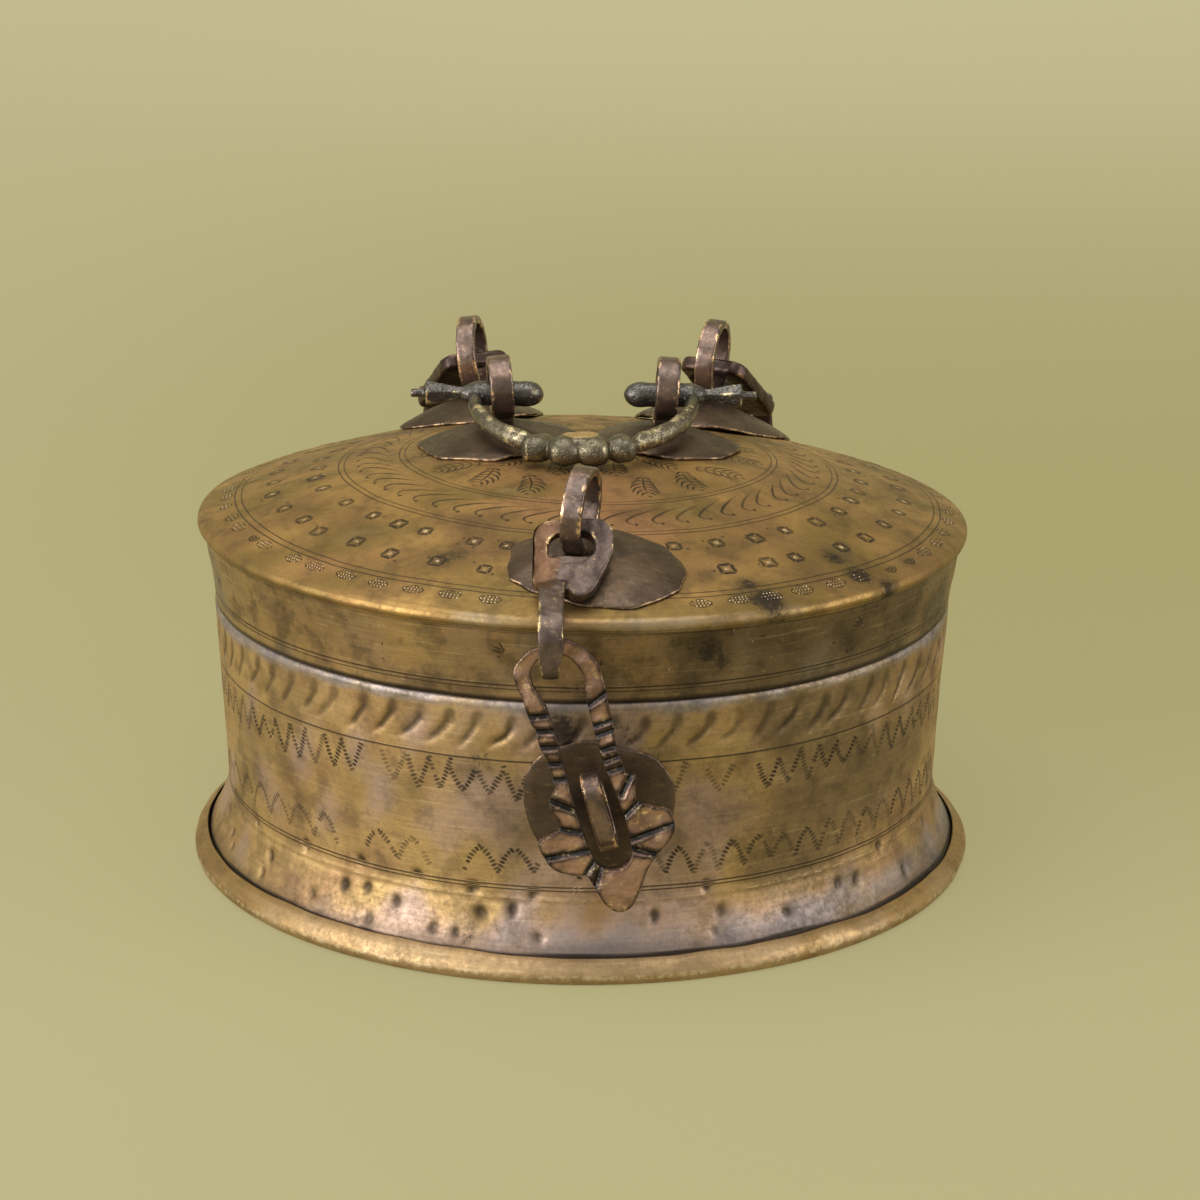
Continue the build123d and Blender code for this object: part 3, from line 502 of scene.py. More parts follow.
def press_dent(depth, dark, heights, degrees, height, wide, deep, turn):
    """A crescent dent, deepest on one side of its middle, with painted shade on that side."""
    at = math.radians(degrees) * WALL_ROUND
    patch, u, z = window(heights, at - 3 * wide, at + 3 * wide, height - 3 * wide, height + 3 * wide)
    a = (u - at) * math.cos(turn) + (z - height) * math.sin(turn)
    b = -(u - at) * math.sin(turn) + (z - height) * math.cos(turn)
    hit = np.exp(-1.4 * (a * a + b * b) / wide ** 2) * ramp(a, -wide * 1.2, wide * 0.3)
    depth[patch] += deep * 1.6 * hit
    dark[patch] = np.maximum(dark[patch], ramp(hit, 0.12, 0.8) * 0.8 * deep / 0.4)


def press_line(depth, dark, heights, path, wide, deep, tint):
    """A hollow along a path, fading out at both ends."""
    path = even(path, 0.3)
    (u0, z0), (u1, z1) = path.min(0) - 2 * wide, path.max(0) + 2 * wide
    patch, u, z = window(heights, u0, u1, z0, z1)
    t = np.linspace(0, 1, len(path))
    full = np.minimum(1, np.minimum(t, 1 - t) * 3.2 + 0.05)
    gap = (u[..., None] - path[:, 0]) ** 2 + (z[..., None] - path[:, 1]) ** 2
    hit = (full * np.exp(-gap / wide ** 2)).max(-1)
    depth[patch] += deep * hit
    dark[patch] = np.maximum(dark[patch], tint * ramp(hit, 0.25, 0.95))


# rows of dents round the back: height, its spread, pitch in degrees, share left out
DENT_ROWS = ((17.1, 0.4, 9.8, 0.25), (12.0, 0.8, 7.4, 0.25), (7.7, 0.5, 12.5, 0.35))
SLANTS = 75


def drum_relief(heights):
    """Crescent dents along the foot and the row of slanting strokes under the shoulder."""
    depth, dark = np.zeros((len(heights), AROUND)), np.zeros((len(heights), AROUND))
    rng = np.random.default_rng(11)
    for degrees, height in FRONT_DENTS:
        press_dent(depth, dark, heights, degrees, height, rng.uniform(1.5, 2.1), rng.uniform(0.36, 0.5),
                   rng.uniform(-0.5, 0.9))
    for height, spread, pitch, skip in DENT_ROWS:
        for k in range(int(360 / pitch)):
            degrees = -180 + k * pitch + rng.uniform(-1.5, 1.5)
            low, wide = height + rng.normal() * spread, rng.uniform(1.3, 1.9)
            deep, turn, miss = rng.uniform(0.2, 0.42), rng.uniform(-0.6, 0.9), rng.uniform()
            if miss < skip or (-58 < degrees < 56 and height > 8):
                continue
            press_dent(depth, dark, heights, degrees, low, wide, deep, turn)
    for k in range(SLANTS):
        at = (-180 + (k + 0.5) * 360 / SLANTS + rng.uniform(-0.6, 0.6)) * math.pi / 180 * WALL_ROUND
        top, low = 54.6 + rng.uniform(-0.6, 0.6), 46.6 + rng.uniform(-0.3, 0.9)
        lean, strong = rng.uniform(4.2, 6.2), rng.uniform(0.25, 1.0)
        path = curve_through([(at + 0.5, top), (at + 0.1, top - 2.2), (at - 0.25 * lean, top - 4.4),
                              (at - 0.7 * lean, low + 1.2), (at - lean, low)], 5)
        press_line(depth, dark, heights, path, rng.uniform(0.7, 1.05), 0.24 + 0.24 * strong,
                   0.35 + 0.5 * strong)
        press_line(depth, dark, heights, path[:8], 1.6, 0.05, 0.25 + 0.45 * rng.uniform())
    return depth, dark


def build_wall():
    outer = even(curve_through(WALL, 8), 0.40)
    shoulder = curve_through([(79.05, 56.2), (78.6, 57.3), (77.4, 57.68), (NECK_RADIUS, SHOULDER)], 4)[1:]
    inner = [(NECK_RADIUS, SHOULDER - SHEET), (77.6, SHOULDER - SHEET - 0.1)]
    inner += [(r - SHEET, z) for r, z in curve_through(WALL, 2)[::-1]]
    r, z, a = turn_profile(outer, shoulder, inner)
    n = len(outer)
    depth, dark = drum_relief(outer[:, 1])
    r[:n] += wall_offset(a[:n], z[:n]) - depth
    r[:n] += 0.12 * bell(z[:n], 15.5, 0.5)
    flat = to_xyz(WALL_ROUND + 0 * a[:n], 0 * z[:n], a[:n])
    d = degrees_round(flat)
    # painted shade in the crevice over the base's lip: a dark line and a soft band about 3 mm above it, wider
    # towards the right; the dents' painted shade and the darker strokes join it
    seam = 5.5 - 0.35 * ramp(d, -30, 40) + 0.22 * wave(flat, 30, 21)
    width = 0.15 + 0.5 * ramp(d, 0, 50) + 0.25 * wave(flat, 14, 22)
    below = seam + width - z[:n]
    grime, wear = np.zeros_like(z), np.zeros_like(z)
    grime[:n] = np.maximum(np.maximum(dark, 1.1 * ramp(below, -0.5, 0.25)), 0.45 * ramp(below, -3.2, 0.2))
    wear[:n] = 0.5 * bell(z[:n], 15.5, 0.4)
    # a painted highlight along the rounded shoulder
    wear[n - 3:n + 5] = 0.35
    p = to_xyz(r, z, a)
    quad_piece("drum", p, ring_faces(len(z), AROUND), wall_metal, "body", "body_wall",
               {"grime": grime, "wear": wear, **wall_zones(p)})


def build_base():
    outer = even(curve_through(RIM, 6), 0.28)
    inner = [(81.75, 5.0), (82.8, 4.0), (83.7, 2.9), (83.9, 2.0), (83.1, 0.95)]
    floor = [(r, 0.9) for r in (80, 60, 30, 8, 0.02)]
    under = [(r, 0.0) for r in (0.02, 8, 30, 60, 80)]
    r, z, a = turn_profile(under, outer, inner, floor)
    n, m = len(under), len(under) + len(outer)
    p = to_xyz(84 + 0 * z, 0 * z, a)
    d = degrees_round(p)
    lip = ramp(z, 2.4, 5.0)
    lip[:n] = lip[m + 4:] = 0
    z += lip * (0.25 - 0.45 * ramp(d, -25, 40) + 0.28 * wave(p, 27, 33) + 0.12 * wave(p, 8, 34))
    r -= lip * (0.05 * wave(p, 9, 32))
    body = np.zeros_like(z)
    body[n:m] = 1
    q = to_xyz(r, z, a)
    r -= body * (0.13 + 0.10 * wave(q, 16, 35) + 0.05 * wave(q, 5, 36)) * ramp(z, 0.1, 1.0) * (1 - 0.8 * lip)
    # painted shade: dark at the lip's tip and inside it over the crevice, over the underside, and along the
    # outer edge where the base meets the floor
    grime = np.zeros_like(z)
    grime[m - 1:m + 5] = 0.95
    grime[:n] = 0.5
    grime[n] = 0.6
    p = to_xyz(r, z, a)
    # the bright band along the rim's bulge is a painted highlight
    quad_piece("folded_base", p, ring_faces(len(z), AROUND), rim_metal, "body", "base_plate",
               {"grime": grime, "wear": body * bell(z, 1.9, 0.9) * 0.5, **wall_zones(p), "soot": 0 * z})


# ---- lid ----
def build_dome():
    radii = np.r_[0.02, 2, np.arange(4, 30, 1.0), np.arange(30, DOME_EDGE, 0.55)]
    top = [(r, float(dome_height(r))) for r in radii]
    bend = even(curve_through(LIP, 5), 0.22)
    inner = [(81.5, 72.8), (81.45, 73.8), (81.1, 74.7), (80.2, 75.25)]
    inner += [(r, float(dome_height(r)) - SHEET) for r in (76, 66, 52, 36, 20, 8, 0.02)]
    r, z, a = turn_profile(top, bend, inner)
    n, m = len(top), len(top) + len(bend)
    p = to_xyz(r, z, a)
    z[:n] += dome_offset(p[:n, :, 0], p[:n, :, 1])
    z[n:] += lid_shift(p[n:, :, 0], p[n:, :, 1]) - 0.10
    r[n:m] -= 0.05 * wave(p[n:m], 20, 41) + 0.03 * wave(p[n:m], 6, 42) + 0.08
    z[m - 3:m + 1] += 0.07 * wave(p[m - 3:m + 1] * (1, 1, 0), 14, 43)
    height = (z - lid_shift(p[..., 0], p[..., 1]))[n:m]
    grime, wear = np.zeros_like(z), np.zeros_like(z)
    # painted shade under the lip's lower edge, and a thin dark line round the lip; the bright band along the
    # bend is a painted highlight
    grime[m - 1:m + 2] = 0.8
    grime[n:m] = np.maximum(grime[n:m], 0.6 * bell(height, 73.35, 0.16))
    wear[n:m] = 0.2 * bell(height, 75.2, 0.25)
    p = to_xyz(r, z, a)
    quad_piece("lid_dome_raised", p, ring_faces(len(z), AROUND, False), dome_metal, "lid",
               "lid_dome", {"grime": grime, "wear": wear, **dome_zones(p)})


def build_skirt():
    zs = np.arange(58.15, 74.0, 0.40)
    outer = [(float(skirt_radius(z)), z) for z in zs]
    inner = [(80.45, 73.6), (80.0, 70.0), (79.2, 66.0), (78.6, 62.0), (78.15, 58.15)]
    r, z, a = turn_profile(outer, inner)
    n = len(outer)
    r[:n] += skirt_offset(a[:n], z[:n])
    p = to_xyz(SKIRT_ROUND + 0 * z, 0 * z, a)
    low = ramp(-z, -59.5, -58.2)
    z += low * (-0.5 + 0.12 * wave(p, 18, 51) + 0.06 * wave(p, 5, 52))
    grime, wear = np.zeros_like(z), np.zeros_like(z)
    # painted shade along the top, under the lid's lip, and along the bottom edge over the gap to the drum
    grime[:n] = 0.85 * ramp(z[:n], 72.3, 72.9) + 0.9 * ramp(-z[:n], -58.7, -58.3)
    wear[:n] = 0.30 * bell(z[:n], 59.3, 0.35)
    p = to_xyz(r, z, a)
    zones = skirt_zones(p)
    p[..., 2] += skirt_shift(p)
    quad_piece("lid_skirt_band", p, ring_faces(len(z), AROUND), skirt_metal, "lid", "lid_skirt",
               {"grime": grime, "wear": wear, **zones})


build_wall()
build_base()
build_dome()
build_skirt()


# ---- cut and punched marks: narrow valleys with a burr each side, laid on the surface ----
CUT_LIFT, MARK_LIFT = 0.014, 0.006        # of a cut's floor, and of every mark, above the sheet
RAISED = ((1.35, 0.02, 0.9, 0.0), (1.0, 0.06, 0.0, 0.4), (0.6, 0.11, 0.0, 0.75))    # size, lift, grime, wear


class Marks:
    """Collects strokes and dots on one surface into a single mesh.

    A place is (u, v) in millimetres: round the drum or skirt from the front and up, or x and y on the dome.
    """

    def __init__(self, kind):
        self.at, self.zones, self.material = SURFACES[kind]
        self.verts, self.faces, self.grime, self.wear = [], [], [], []
        self.count = 0

    def stroke(self, line, width, depth=0.9, burr=0.03, taper=0.35, closed=False, shine=0.3):
        """A cut along a line of places."""
        line = np.asarray(line, float)
        n = len(line)
        ahead = np.roll(line, -1, 0) - np.roll(line, 1, 0) if closed else np.gradient(line, axis=0)
        ahead /= np.maximum(np.linalg.norm(ahead, axis=1), 1e-9)[:, None]
        side = np.stack([-ahead[:, 1], ahead[:, 0]], 1)
        t = np.linspace(0, 1, n)
        full = np.ones(n) if closed else np.minimum(1, np.minimum(t, 1 - t) / max(taper, 1e-3) + 0.12)
        w = (width * full * 0.5)[:, None]
        i = np.arange(n if closed else n - 1)
        j = (i + 1) % n
        floor, edge = (CUT_LIFT, depth, 0.0), (burr, 0.2, shine)
        across = ((-2.0, 0, 0, 0), (-1.3, *edge), (-0.8, *floor), (0.8, *floor), (1.3, *edge), (2.0, 0, 0, 0))
        for k, lift, grime, wear in across:
            q = line + side * w * k
            self.verts.append(self.at(q[:, 0], q[:, 1], lift * full + MARK_LIFT))
            self.grime.append(grime * (0.6 + 0.4 * full))
            self.wear.append(np.full(n, float(wear)))
        for a in self.count + n * np.arange(len(across) - 1):
            self.faces.append(np.stack([a + i, a + n + i, a + n + j, a + j], 1))
        self.count += len(across) * n

    def dot(self, u, v, long, wide, turn, depth=1.0, burr=0.03, raised=False):
        """A punched pit with a raised edge, or a small raised square left between cuts."""
        k = np.arange(8) * math.pi / 4
        c, s = math.cos(turn), math.sin(turn)
        pit = ((1.45, MARK_LIFT, 0.15, 0.0), (1.1, burr, 0.9 * depth, 0.0), (0.8, 0.018, depth, 0.0))
        for scale, lift, grime, wear in RAISED if raised else pit:
            a, b = np.cos(k) * long * 0.5 * scale, np.sin(k) * wide * 0.5 * scale
            self.verts.append(self.at(u + a * c - b * s, v + a * s + b * c, lift))
            self.grime.append(np.full(8, grime))
            self.wear.append(np.full(8, wear))
        i = np.arange(8)
        j = (i + 1) % 8
        for a in (self.count, self.count + 8):
            self.faces.append(np.stack([a + i, a + j, a + j + 8, a + i + 8], 1))
        self.faces.append(self.count + 16 + np.array([[0, 1, 2, 3], [0, 3, 4, 7], [4, 5, 6, 7]]))
        self.count += 24

    def dashes(self, line, rng, strong):
        """Short cuts across a line, one behind another."""
        line = even(line, 0.84)
        ahead = np.gradient(line, axis=0)
        for (u, v), (du, dv) in zip(line, ahead):
            wide, depth = rng.uniform(0.8, 1.2), min(1.0, strong * rng.uniform(0.85, 1.1))
            if rng.uniform() > 0.06:
                self.dot(u, v, 0.52, wide, math.atan2(dv, du) + rng.uniform(-0.12, 0.12), depth)

    def finish(self, name, body):
        verts = np.concatenate(self.verts)
        looks = {"grime": np.concatenate(self.grime), "wear": np.concatenate(self.wear), **self.zones(verts)}
        quad_piece(name, verts, np.concatenate(self.faces), self.material, body, None, looks)


def wall_marks():
    rng = np.random.default_rng(101)
    marks = Marks("wall")
    turn = np.arange(900) * 2 * math.pi / 900 * WALL_ROUND
    circle = np.stack([np.sin(turn / WALL_ROUND), np.cos(turn / WALL_ROUND)], 1) * WALL_ROUND
    for z, width, size, seed in ((44.95, 0.30, 60, 61), (18.05, 0.28, 50, 62), (17.3, 0.24, 50, 62)):
        wobble = 0.12 * wave(circle, size, seed)
        marks.stroke(np.stack([turn, z + wobble], 1), width, 0.9, 0.02, closed=True, shine=0.2)
    degree = math.pi / 180 * WALL_ROUND
    at = -180.0
    while at < 179:
        pitch = rng.uniform(3.5, 4.1)
        strong, miss = rng.uniform(0.55, 1.1), rng.uniform()
        if miss > 0.12:
            u, half = at * degree, pitch / 2 * degree
            top, low = 42.6 + rng.uniform(-0.9, 1.3), 37.2 + rng.uniform(-0.7, 1.1)
            middle = (top + low) / 2
            down = [(u - half * 0.95, top), (u - half * 0.5, middle - 0.3), (u, low)]
            marks.dashes(curve_through(down, 4), rng, strong * 0.85)
            end = (u + half, top + rng.uniform(-0.6, 0.8))
            up = [(u + 0.3, low + 0.4), (u + half * 0.55, middle + 0.2), end]
            marks.dashes(curve_through(up, 4), rng, strong)
        at += pitch
    at = -180.0
    while at < 178:
        pitch = rng.uniform(5.3, 6.0) if -150 < at < 0 else rng.uniform(4.1, 4.6)
        strong, miss = rng.uniform(0.55, 1.1), rng.uniform()
        if miss > 0.08:
            u, half = at * degree, pitch / 2 * degree
            top, low = 25.9 + rng.uniform(-0.5, 0.5), 20.9 + rng.uniform(-0.8, 0.8)
            up = [(u - half * 0.9, low), (u - half * 0.5, low + 3.2), (u, top)]
            marks.dashes(curve_through(up, 4), rng, strong)
            down = [(u + 0.45, top - 0.4), (u + half * 0.55, top - 2.0), (u + half, low)]
            marks.dashes(curve_through(down, 4), rng, strong * 0.85)
        at += pitch
    marks.finish("drum_marks", "body")


def skirt_marks():
    rng = np.random.default_rng(102)
    marks = Marks("skirt")
    turn = np.arange(800) * 2 * math.pi / 800 * SKIRT_ROUND
    for z, width, depth in ((60.85, 0.26, 0.95), (60.05, 0.2, 0.85), (72.2, 0.15, 0.6)):
        ring = np.stack([turn, z + 0.05 * np.sin(turn / 30)], 1)
        marks.stroke(ring, width, depth, 0.02, closed=True, shine=0.15)
    for degrees in (-11, 44, 100, -79, 147, -150):
        u = math.radians(degrees) * SKIRT_ROUND
        for a, b in ((0.0, 2.6), (-1.1, 1.6), (1.0, 1.5), (-1.7, 0.7)):
            leaf = [(u, 67.4), (u + a * 0.4 + 0.2, 67.4 + b * 0.6), (u + a - 0.6, 67.4 + b)]
            marks.stroke(curve_through(leaf, 4), 0.36, 0.95, 0.03)
    for _ in range(60):
        u, z = rng.uniform(0, 2 * math.pi * SKIRT_ROUND), rng.uniform(62, 71)
        marks.dot(u, z, rng.uniform(0.3, 1.1), rng.uniform(0.2, 0.5), rng.uniform(0, 3), 0.85, 0.02)
    marks.finish("skirt_marks", "lid")


def polar(r, degrees):
    """A place on the lid, at a radius from the middle of its rings."""
    a = math.radians(degrees)
    return RING_CENTRE + r * math.sin(a), -r * math.cos(a)


# places of the punches at the front of each row on the lid, in degrees; SHELLS are ovals cut as shells
OVALS = (-58, -49.6, -44.5, -38.1, -31.9, -25.9, -20.1, -13.9, 16.9, 22.9, 28, 33.6, 40.1, 45.5, 52.2, 57.7)
SHELLS = (52.2, 57.7)
INNER_SQUARES = (-59.5, -48.6, -40.7, -33.6, -22.4, -15.6, -7, 8, 17.4, 26.5, 35.3, 43.5, 53.1, 63)
OUTER_SQUARES = (-53.3, -43.6, -35.2, -26, -17.1, 24.4, 32.6, 38.5, 49.6, 57.4)


COMMAS = 57
SPRIGS = ((36.2, 18, 9.0), (24.5, 12, 9.0), (12.5, 6, 8.0))    # radius, number, length of each ring's sprigs


def round_row(front, pitch, rng):
    """Angles of a row of punches: those seen at the front, then on round the back at an even pitch."""
    row = list(front)
    at = front[-1] + pitch
    while at < front[0] + 360 - pitch * 0.6:
        row.append(at + rng.uniform(-0.8, 0.8))
        at += pitch
    return row


def oval(marks, at, rng):
    """An outlined oval with three grooves and rows of raised squares, or a shell of three arcs."""
    r0 = 77.4 + rng.uniform(-0.25, 0.25)
    half_long, half_wide = 2.4 * rng.uniform(0.88, 1.08), 1.3 * rng.uniform(0.88, 1.08)

    def spot(a, b):
        return polar(r0 + b, at + math.degrees(a / r0))
    if at in SHELLS or rng.uniform() < 0.06:
        for k in (0.6, 1.1, 1.6):
            turn = np.linspace(0.1, 3.0, 9)
            arc = [spot(math.cos(t) * k * 1.2, -0.9 + math.sin(t) * k * 1.25) for t in turn]
            marks.stroke(arc, 0.34, 0.95, 0.04, 0.1)
        return
    turn = np.linspace(0, 2 * math.pi, 26)[:-1]
    outline = [spot(half_long * math.cos(t), half_wide * math.sin(t) * (1 - 0.3 * abs(math.cos(t))))
               for t in turn]
    marks.stroke(outline, 0.26, 0.9, 0.03, closed=True)
    for b in (-0.62, 0.0, 0.62):
        reach = half_long * (0.66 if b else 0.86)
        groove = [spot(a, b * half_wide) for a in np.linspace(-reach, reach, 6)]
        marks.stroke(groove, 0.5, 0.85, 0.015, 0.1, shine=0)
        for a in np.arange(-reach, reach + 0.01, 0.74):
            u, v = spot(a + (0.37 if b else 0), b * half_wide)
            marks.dot(u, v, 0.40, 0.36, rng.uniform(0, 3), raised=True)


def square(marks, radius, at, rng):
    """Four cuts round a raised square, with a few pits about it."""
    r0, size, spin = radius + rng.uniform(-0.6, 0.6), rng.uniform(0.85, 1.05), rng.uniform(-0.2, 0.2)
    deep = rng.uniform(0.6, 1.0)
    c, s = math.cos(spin), math.sin(spin)

    def place(a, b):
        return polar(r0 + a * s + b * c, at + math.degrees((a * c - b * s) / r0))
    half = 1.6 * size
    corners = ((-1, -1), (1, -1), (1, 1), (-1, 1), (-1, -1))
    for (a0, b0), (a1, b1) in zip(corners, corners[1:]):
        ends = [place(a0 * half * 0.86, b0 * half * 0.86),
                place((a0 + a1) * half * 0.42, (b0 + b1) * half * 0.42),
                place(a1 * half * 0.86, b1 * half * 0.86)]
        marks.stroke(even(ends, 0.3), 0.72 * size, 0.4 + 0.6 * deep, 0.04, 0.06)
    u, v = place(0, 0)
    marks.dot(u, v, 1.15, 1.15, math.radians(at) + 0.78 + spin, raised=True)
    for _ in range(4):
        a, b, spare = rng.uniform(-3.2, 3.2), rng.uniform(-2.2, 2.2), rng.uniform()
        if spare < 0.6 and max(abs(a), abs(b)) > 2.0:
            u, v = place(a, b)
            marks.dot(u, v, 0.6, 0.4, rng.uniform(0, 3), 0.9, 0.02)


def sprig(marks, radius, at, grow, bend):
    """A short curved stem with leaves in pairs, cut with a small chisel."""
    stem = curve_through([polar(radius, at), polar(radius - grow * 0.5, at + bend * 0.25),
                          polar(max(radius - grow, 2), at + bend)], 6)
    marks.stroke(stem, 0.38, 0.9, 0.03, 0.3)
    ahead = np.gradient(stem, axis=0)
    for k in range(1, len(stem) - 1, 2):
        d = ahead[k] / np.linalg.norm(ahead[k])
        s = np.array([-d[1], d[0]])
        length = 2.7 * math.sin(math.pi * k / (len(stem) - 1)) + 1.2
        for way in (-1, 1):
            mid = stem[k] + s * way * length * 0.5 - d * length * 0.25
            tip = stem[k] + s * way * length * 0.8 - d * length * 0.9
            marks.stroke(curve_through([stem[k], mid, tip], 3), 0.42, 1.0, 0.03, 0.3)


def dome_marks():
    rng = np.random.default_rng(103)
    marks = Marks("dome")
    t = np.arange(700) * 2 * math.pi / 700
    for radius, width in ((75.5, 0.27), (74.1, 0.24), (53.4, 0.26), (52.2, 0.22), (40.4, 0.25), (39.2, 0.22)):
        marks.stroke(np.stack([RING_CENTRE + radius * np.sin(t), -radius * np.cos(t)], 1), width, 0.85, 0.02,
                     closed=True, shine=0.2)
    for at in round_row(OVALS, 6.0, rng):
        oval(marks, at, rng)
    for row, radius, pitch in ((INNER_SQUARES, 58.3, 9.0), (OUTER_SQUARES, 67.6, 9.0)):
        for at in round_row(row, pitch, rng):
            square(marks, radius, at, rng)
    for i in range(COMMAS):
        at = i * 360 / COMMAS + rng.uniform(-0.6, 0.6)
        comma = ((49.3, -0.6), (49.0, -1.9), (47.6, -2.6), (45.6, 0.0), (43.9, 4.0),
                 (42.7, 8.0 + rng.uniform(-0.8, 0.8)))
        line = [polar(r, at + d) for r, d in comma]
        marks.stroke(curve_through(line, 4), 0.46, rng.uniform(0.75, 1.0), 0.04, 0.4)
        marks.dot(*line[0], 0.75, 0.6, rng.uniform(0, 3), 0.95, 0.04)
    for ring, (radius, count, grow) in enumerate(SPRIGS):
        for i in range(count):
            at = (i + 0.5 * (ring % 2)) * 360 / count + rng.uniform(-1.5, 1.5)
            sprig(marks, radius, at, grow, rng.choice((-1, 1)) * rng.uniform(6, 13) * 36 / radius * 0.6)
            marks.dot(*polar(radius + 1.2, at), 0.8, 0.6, 0, 0.7, 0.03)
    marks.finish("lid_marks", "lid")


wall_marks()
skirt_marks()
dome_marks()


# ---- forged pieces: solids remeshed, softened and worn ----
def edge_pairs(mesh):
    """The two point numbers of each edge."""
    pairs = np.zeros(len(mesh.edges) * 2, np.int32)
    mesh.edges.foreach_get("vertices", pairs)
    return pairs.reshape(-1, 2)


def neighbour_mean(values, pairs, count):
    """Mean of the values at the points that each point has an edge to."""
    total = np.zeros((len(values), values.shape[1]))
    for c in range(values.shape[1]):
        total[:, c] = (np.bincount(pairs[:, 0], values[pairs[:, 1], c], len(values))
                       + np.bincount(pairs[:, 1], values[pairs[:, 0], c], len(values)))
    return total / count[:, None]


def mesh_points(mesh):
    v = np.zeros(len(mesh.vertices) * 3)
    mesh.vertices.foreach_get("co", v)
    return v.reshape(-1, 3) / MM


def set_points(mesh, v):
    """Moves a mesh's points and returns its new normals."""
    mesh.vertices.foreach_set("co", (v * MM).ravel())
    mesh.update()
    normals = np.zeros(v.size)
    mesh.vertices.foreach_get("normal", normals)
    return normals.reshape(-1, 3)


def real_mesh(work):
    """The mesh of an object, or of a curve, after its modifiers; the object itself is removed."""
    scene.collection.objects.link(work)
    bpy.context.view_layer.update()
    mesh = bpy.data.meshes.new_from_object(work.evaluated_get(bpy.context.evaluated_depsgraph_get()))
    bpy.data.objects.remove(work)
    return mesh


def blob(centre, radii, turn=0.0, full=1.0):
    """Points and faces of an egg with its poles on X, turned about Z by degrees; full below 1 is a barrel."""
    rings, around = 18, 28
    a = (np.arange(rings) + 0.5) / rings * math.pi
    b = np.arange(around) * 2 * math.pi / around
    ends, belly = -np.cos(a)[:, None], (np.sin(a) ** full)[:, None]
    p = np.stack([ends + 0 * b, belly * np.cos(b), belly * np.sin(b)], -1)
    p = p.reshape(-1, 3) * radii
    c, s = math.cos(math.radians(turn)), math.sin(math.radians(turn))
    p = np.stack([p[:, 0] * c - p[:, 1] * s, p[:, 0] * s + p[:, 1] * c, p[:, 2]], 1) + centre
    faces = [tuple(f) for f in ring_faces(rings, around, False)]
    last = (rings - 1) * around
    return p, faces + [tuple(range(around))[::-1], tuple(range(last, last + around))]


def merged(source, extras):
    """The source mesh with closed shapes added to it, ready to be remeshed into one."""
    points = [mesh_points(source)]
    faces = [tuple(p.vertices) for p in source.polygons]
    base = len(points[0])
    for p, f in extras:
        points.append(p)
        faces += [tuple(i + base for i in face) for face in f]
        base += len(p)
    mesh = bpy.data.meshes.new("merged")
    mesh.from_pydata([tuple(q * MM) for q in np.concatenate(points)], [], faces)
    return mesh


def forge(node, material, body, voxel=0.3, rounds=8, rough=0.05, shape=None, source=None, extras=(),
          wear=1.0, seed=0, zones=None, swell=0.0):
    """Remeshes a solid, softens its edges, roughens it and marks edges as worn and hollows as grimy."""
    source = source or nodes[node].data
    work = bpy.data.objects.new(node + "_work", merged(source, extras) if extras else source.copy())
    remesh = work.modifiers.new("remesh", "REMESH")
    remesh.mode = "VOXEL"
    remesh.voxel_size = voxel * MM
    mesh = real_mesh(work)
    pairs = edge_pairs(mesh)
    v = mesh_points(mesh)
    count = np.maximum(np.bincount(pairs.ravel(), minlength=len(v)), 1)

    def relax(v, share):
        return v + share * (neighbour_mean(v, pairs, count) - v)
    for _ in range(rounds):
        v = relax(relax(v, 0.55), -0.25)
    if swell:
        v = v + swell * set_points(mesh, v)
        for _ in range(6):
            v = relax(v, 0.5)
    if shape:
        v = relax(shape(v), 0.4)
    normals = set_points(mesh, v)
    bend = -((neighbour_mean(v, pairs, count) - v) * normals).sum(1, keepdims=True) / voxel ** 2
    for _ in range(6):
        bend = relax(bend, 0.5)
    bend = bend[:, 0]
    extra = zones(v) if zones else {}
    wear = wear * (1 - extra.pop("calm", 0))
    broken = np.clip(0.55 + 0.75 * wave(v, 5.0, 500 + seed) + 0.3 * wave(v, 1.8, 520 + seed), 0.05, 1.1)
    attributes = {"wear": unit(bend * 3.4 * wear - 0.12) * broken, "grime": unit(-bend * 3.4 - 0.1), **extra}
    uneven = 0.7 * wave(v, 4.5, 200 + seed) + 0.45 * wave(v, 1.6, 300 + seed) - 0.6
    v = v + normals * (rough * uneven)[:, None]
    mesh.polygons.foreach_set("use_smooth", np.full(len(mesh.polygons), True))
    set_points(mesh, v)
    finish_piece(node + "_forged", mesh, material, body, node, attributes)


SIDES = ("left", "right")
STAPLES = [(f"{kind}_staple_{side}", body) for side in SIDES
           for kind, body in (("bail", "lid"), ("hinge_lid", "lid"), ("hinge_wall", "body"))]
for seed, (node, body) in enumerate(STAPLES, 1):
    forge(node, staple_metal, body, seed=seed, wear=1.5)


# ---- hinge links: thick rounded bars ----
def bent_in(v):
    """The upper part of a link stands a little nearer the middle, as the arms are bent."""
    out = v.copy()
    out[:, 0] -= np.sign(v[:, 0]) * 1.6 * ramp(v[:, 2], 58, 80)
    out[:, 1] = np.minimum(out[:, 1], 84.6)
    return out


for side in SIDES:
    forge(f"hinge_link_{side}", link_metal, f"hinge_link_{side}", 0.33, rounds=10, rough=0.08,
          shape=bent_in, seed=20 + len(side), swell=0.2)
forge("hasp_lid_staple", staple_metal, "lid", 0.27, seed=31, wear=2.2)
forge("lock_staple", staple_metal, "body", 0.27, seed=32, wear=1.6)

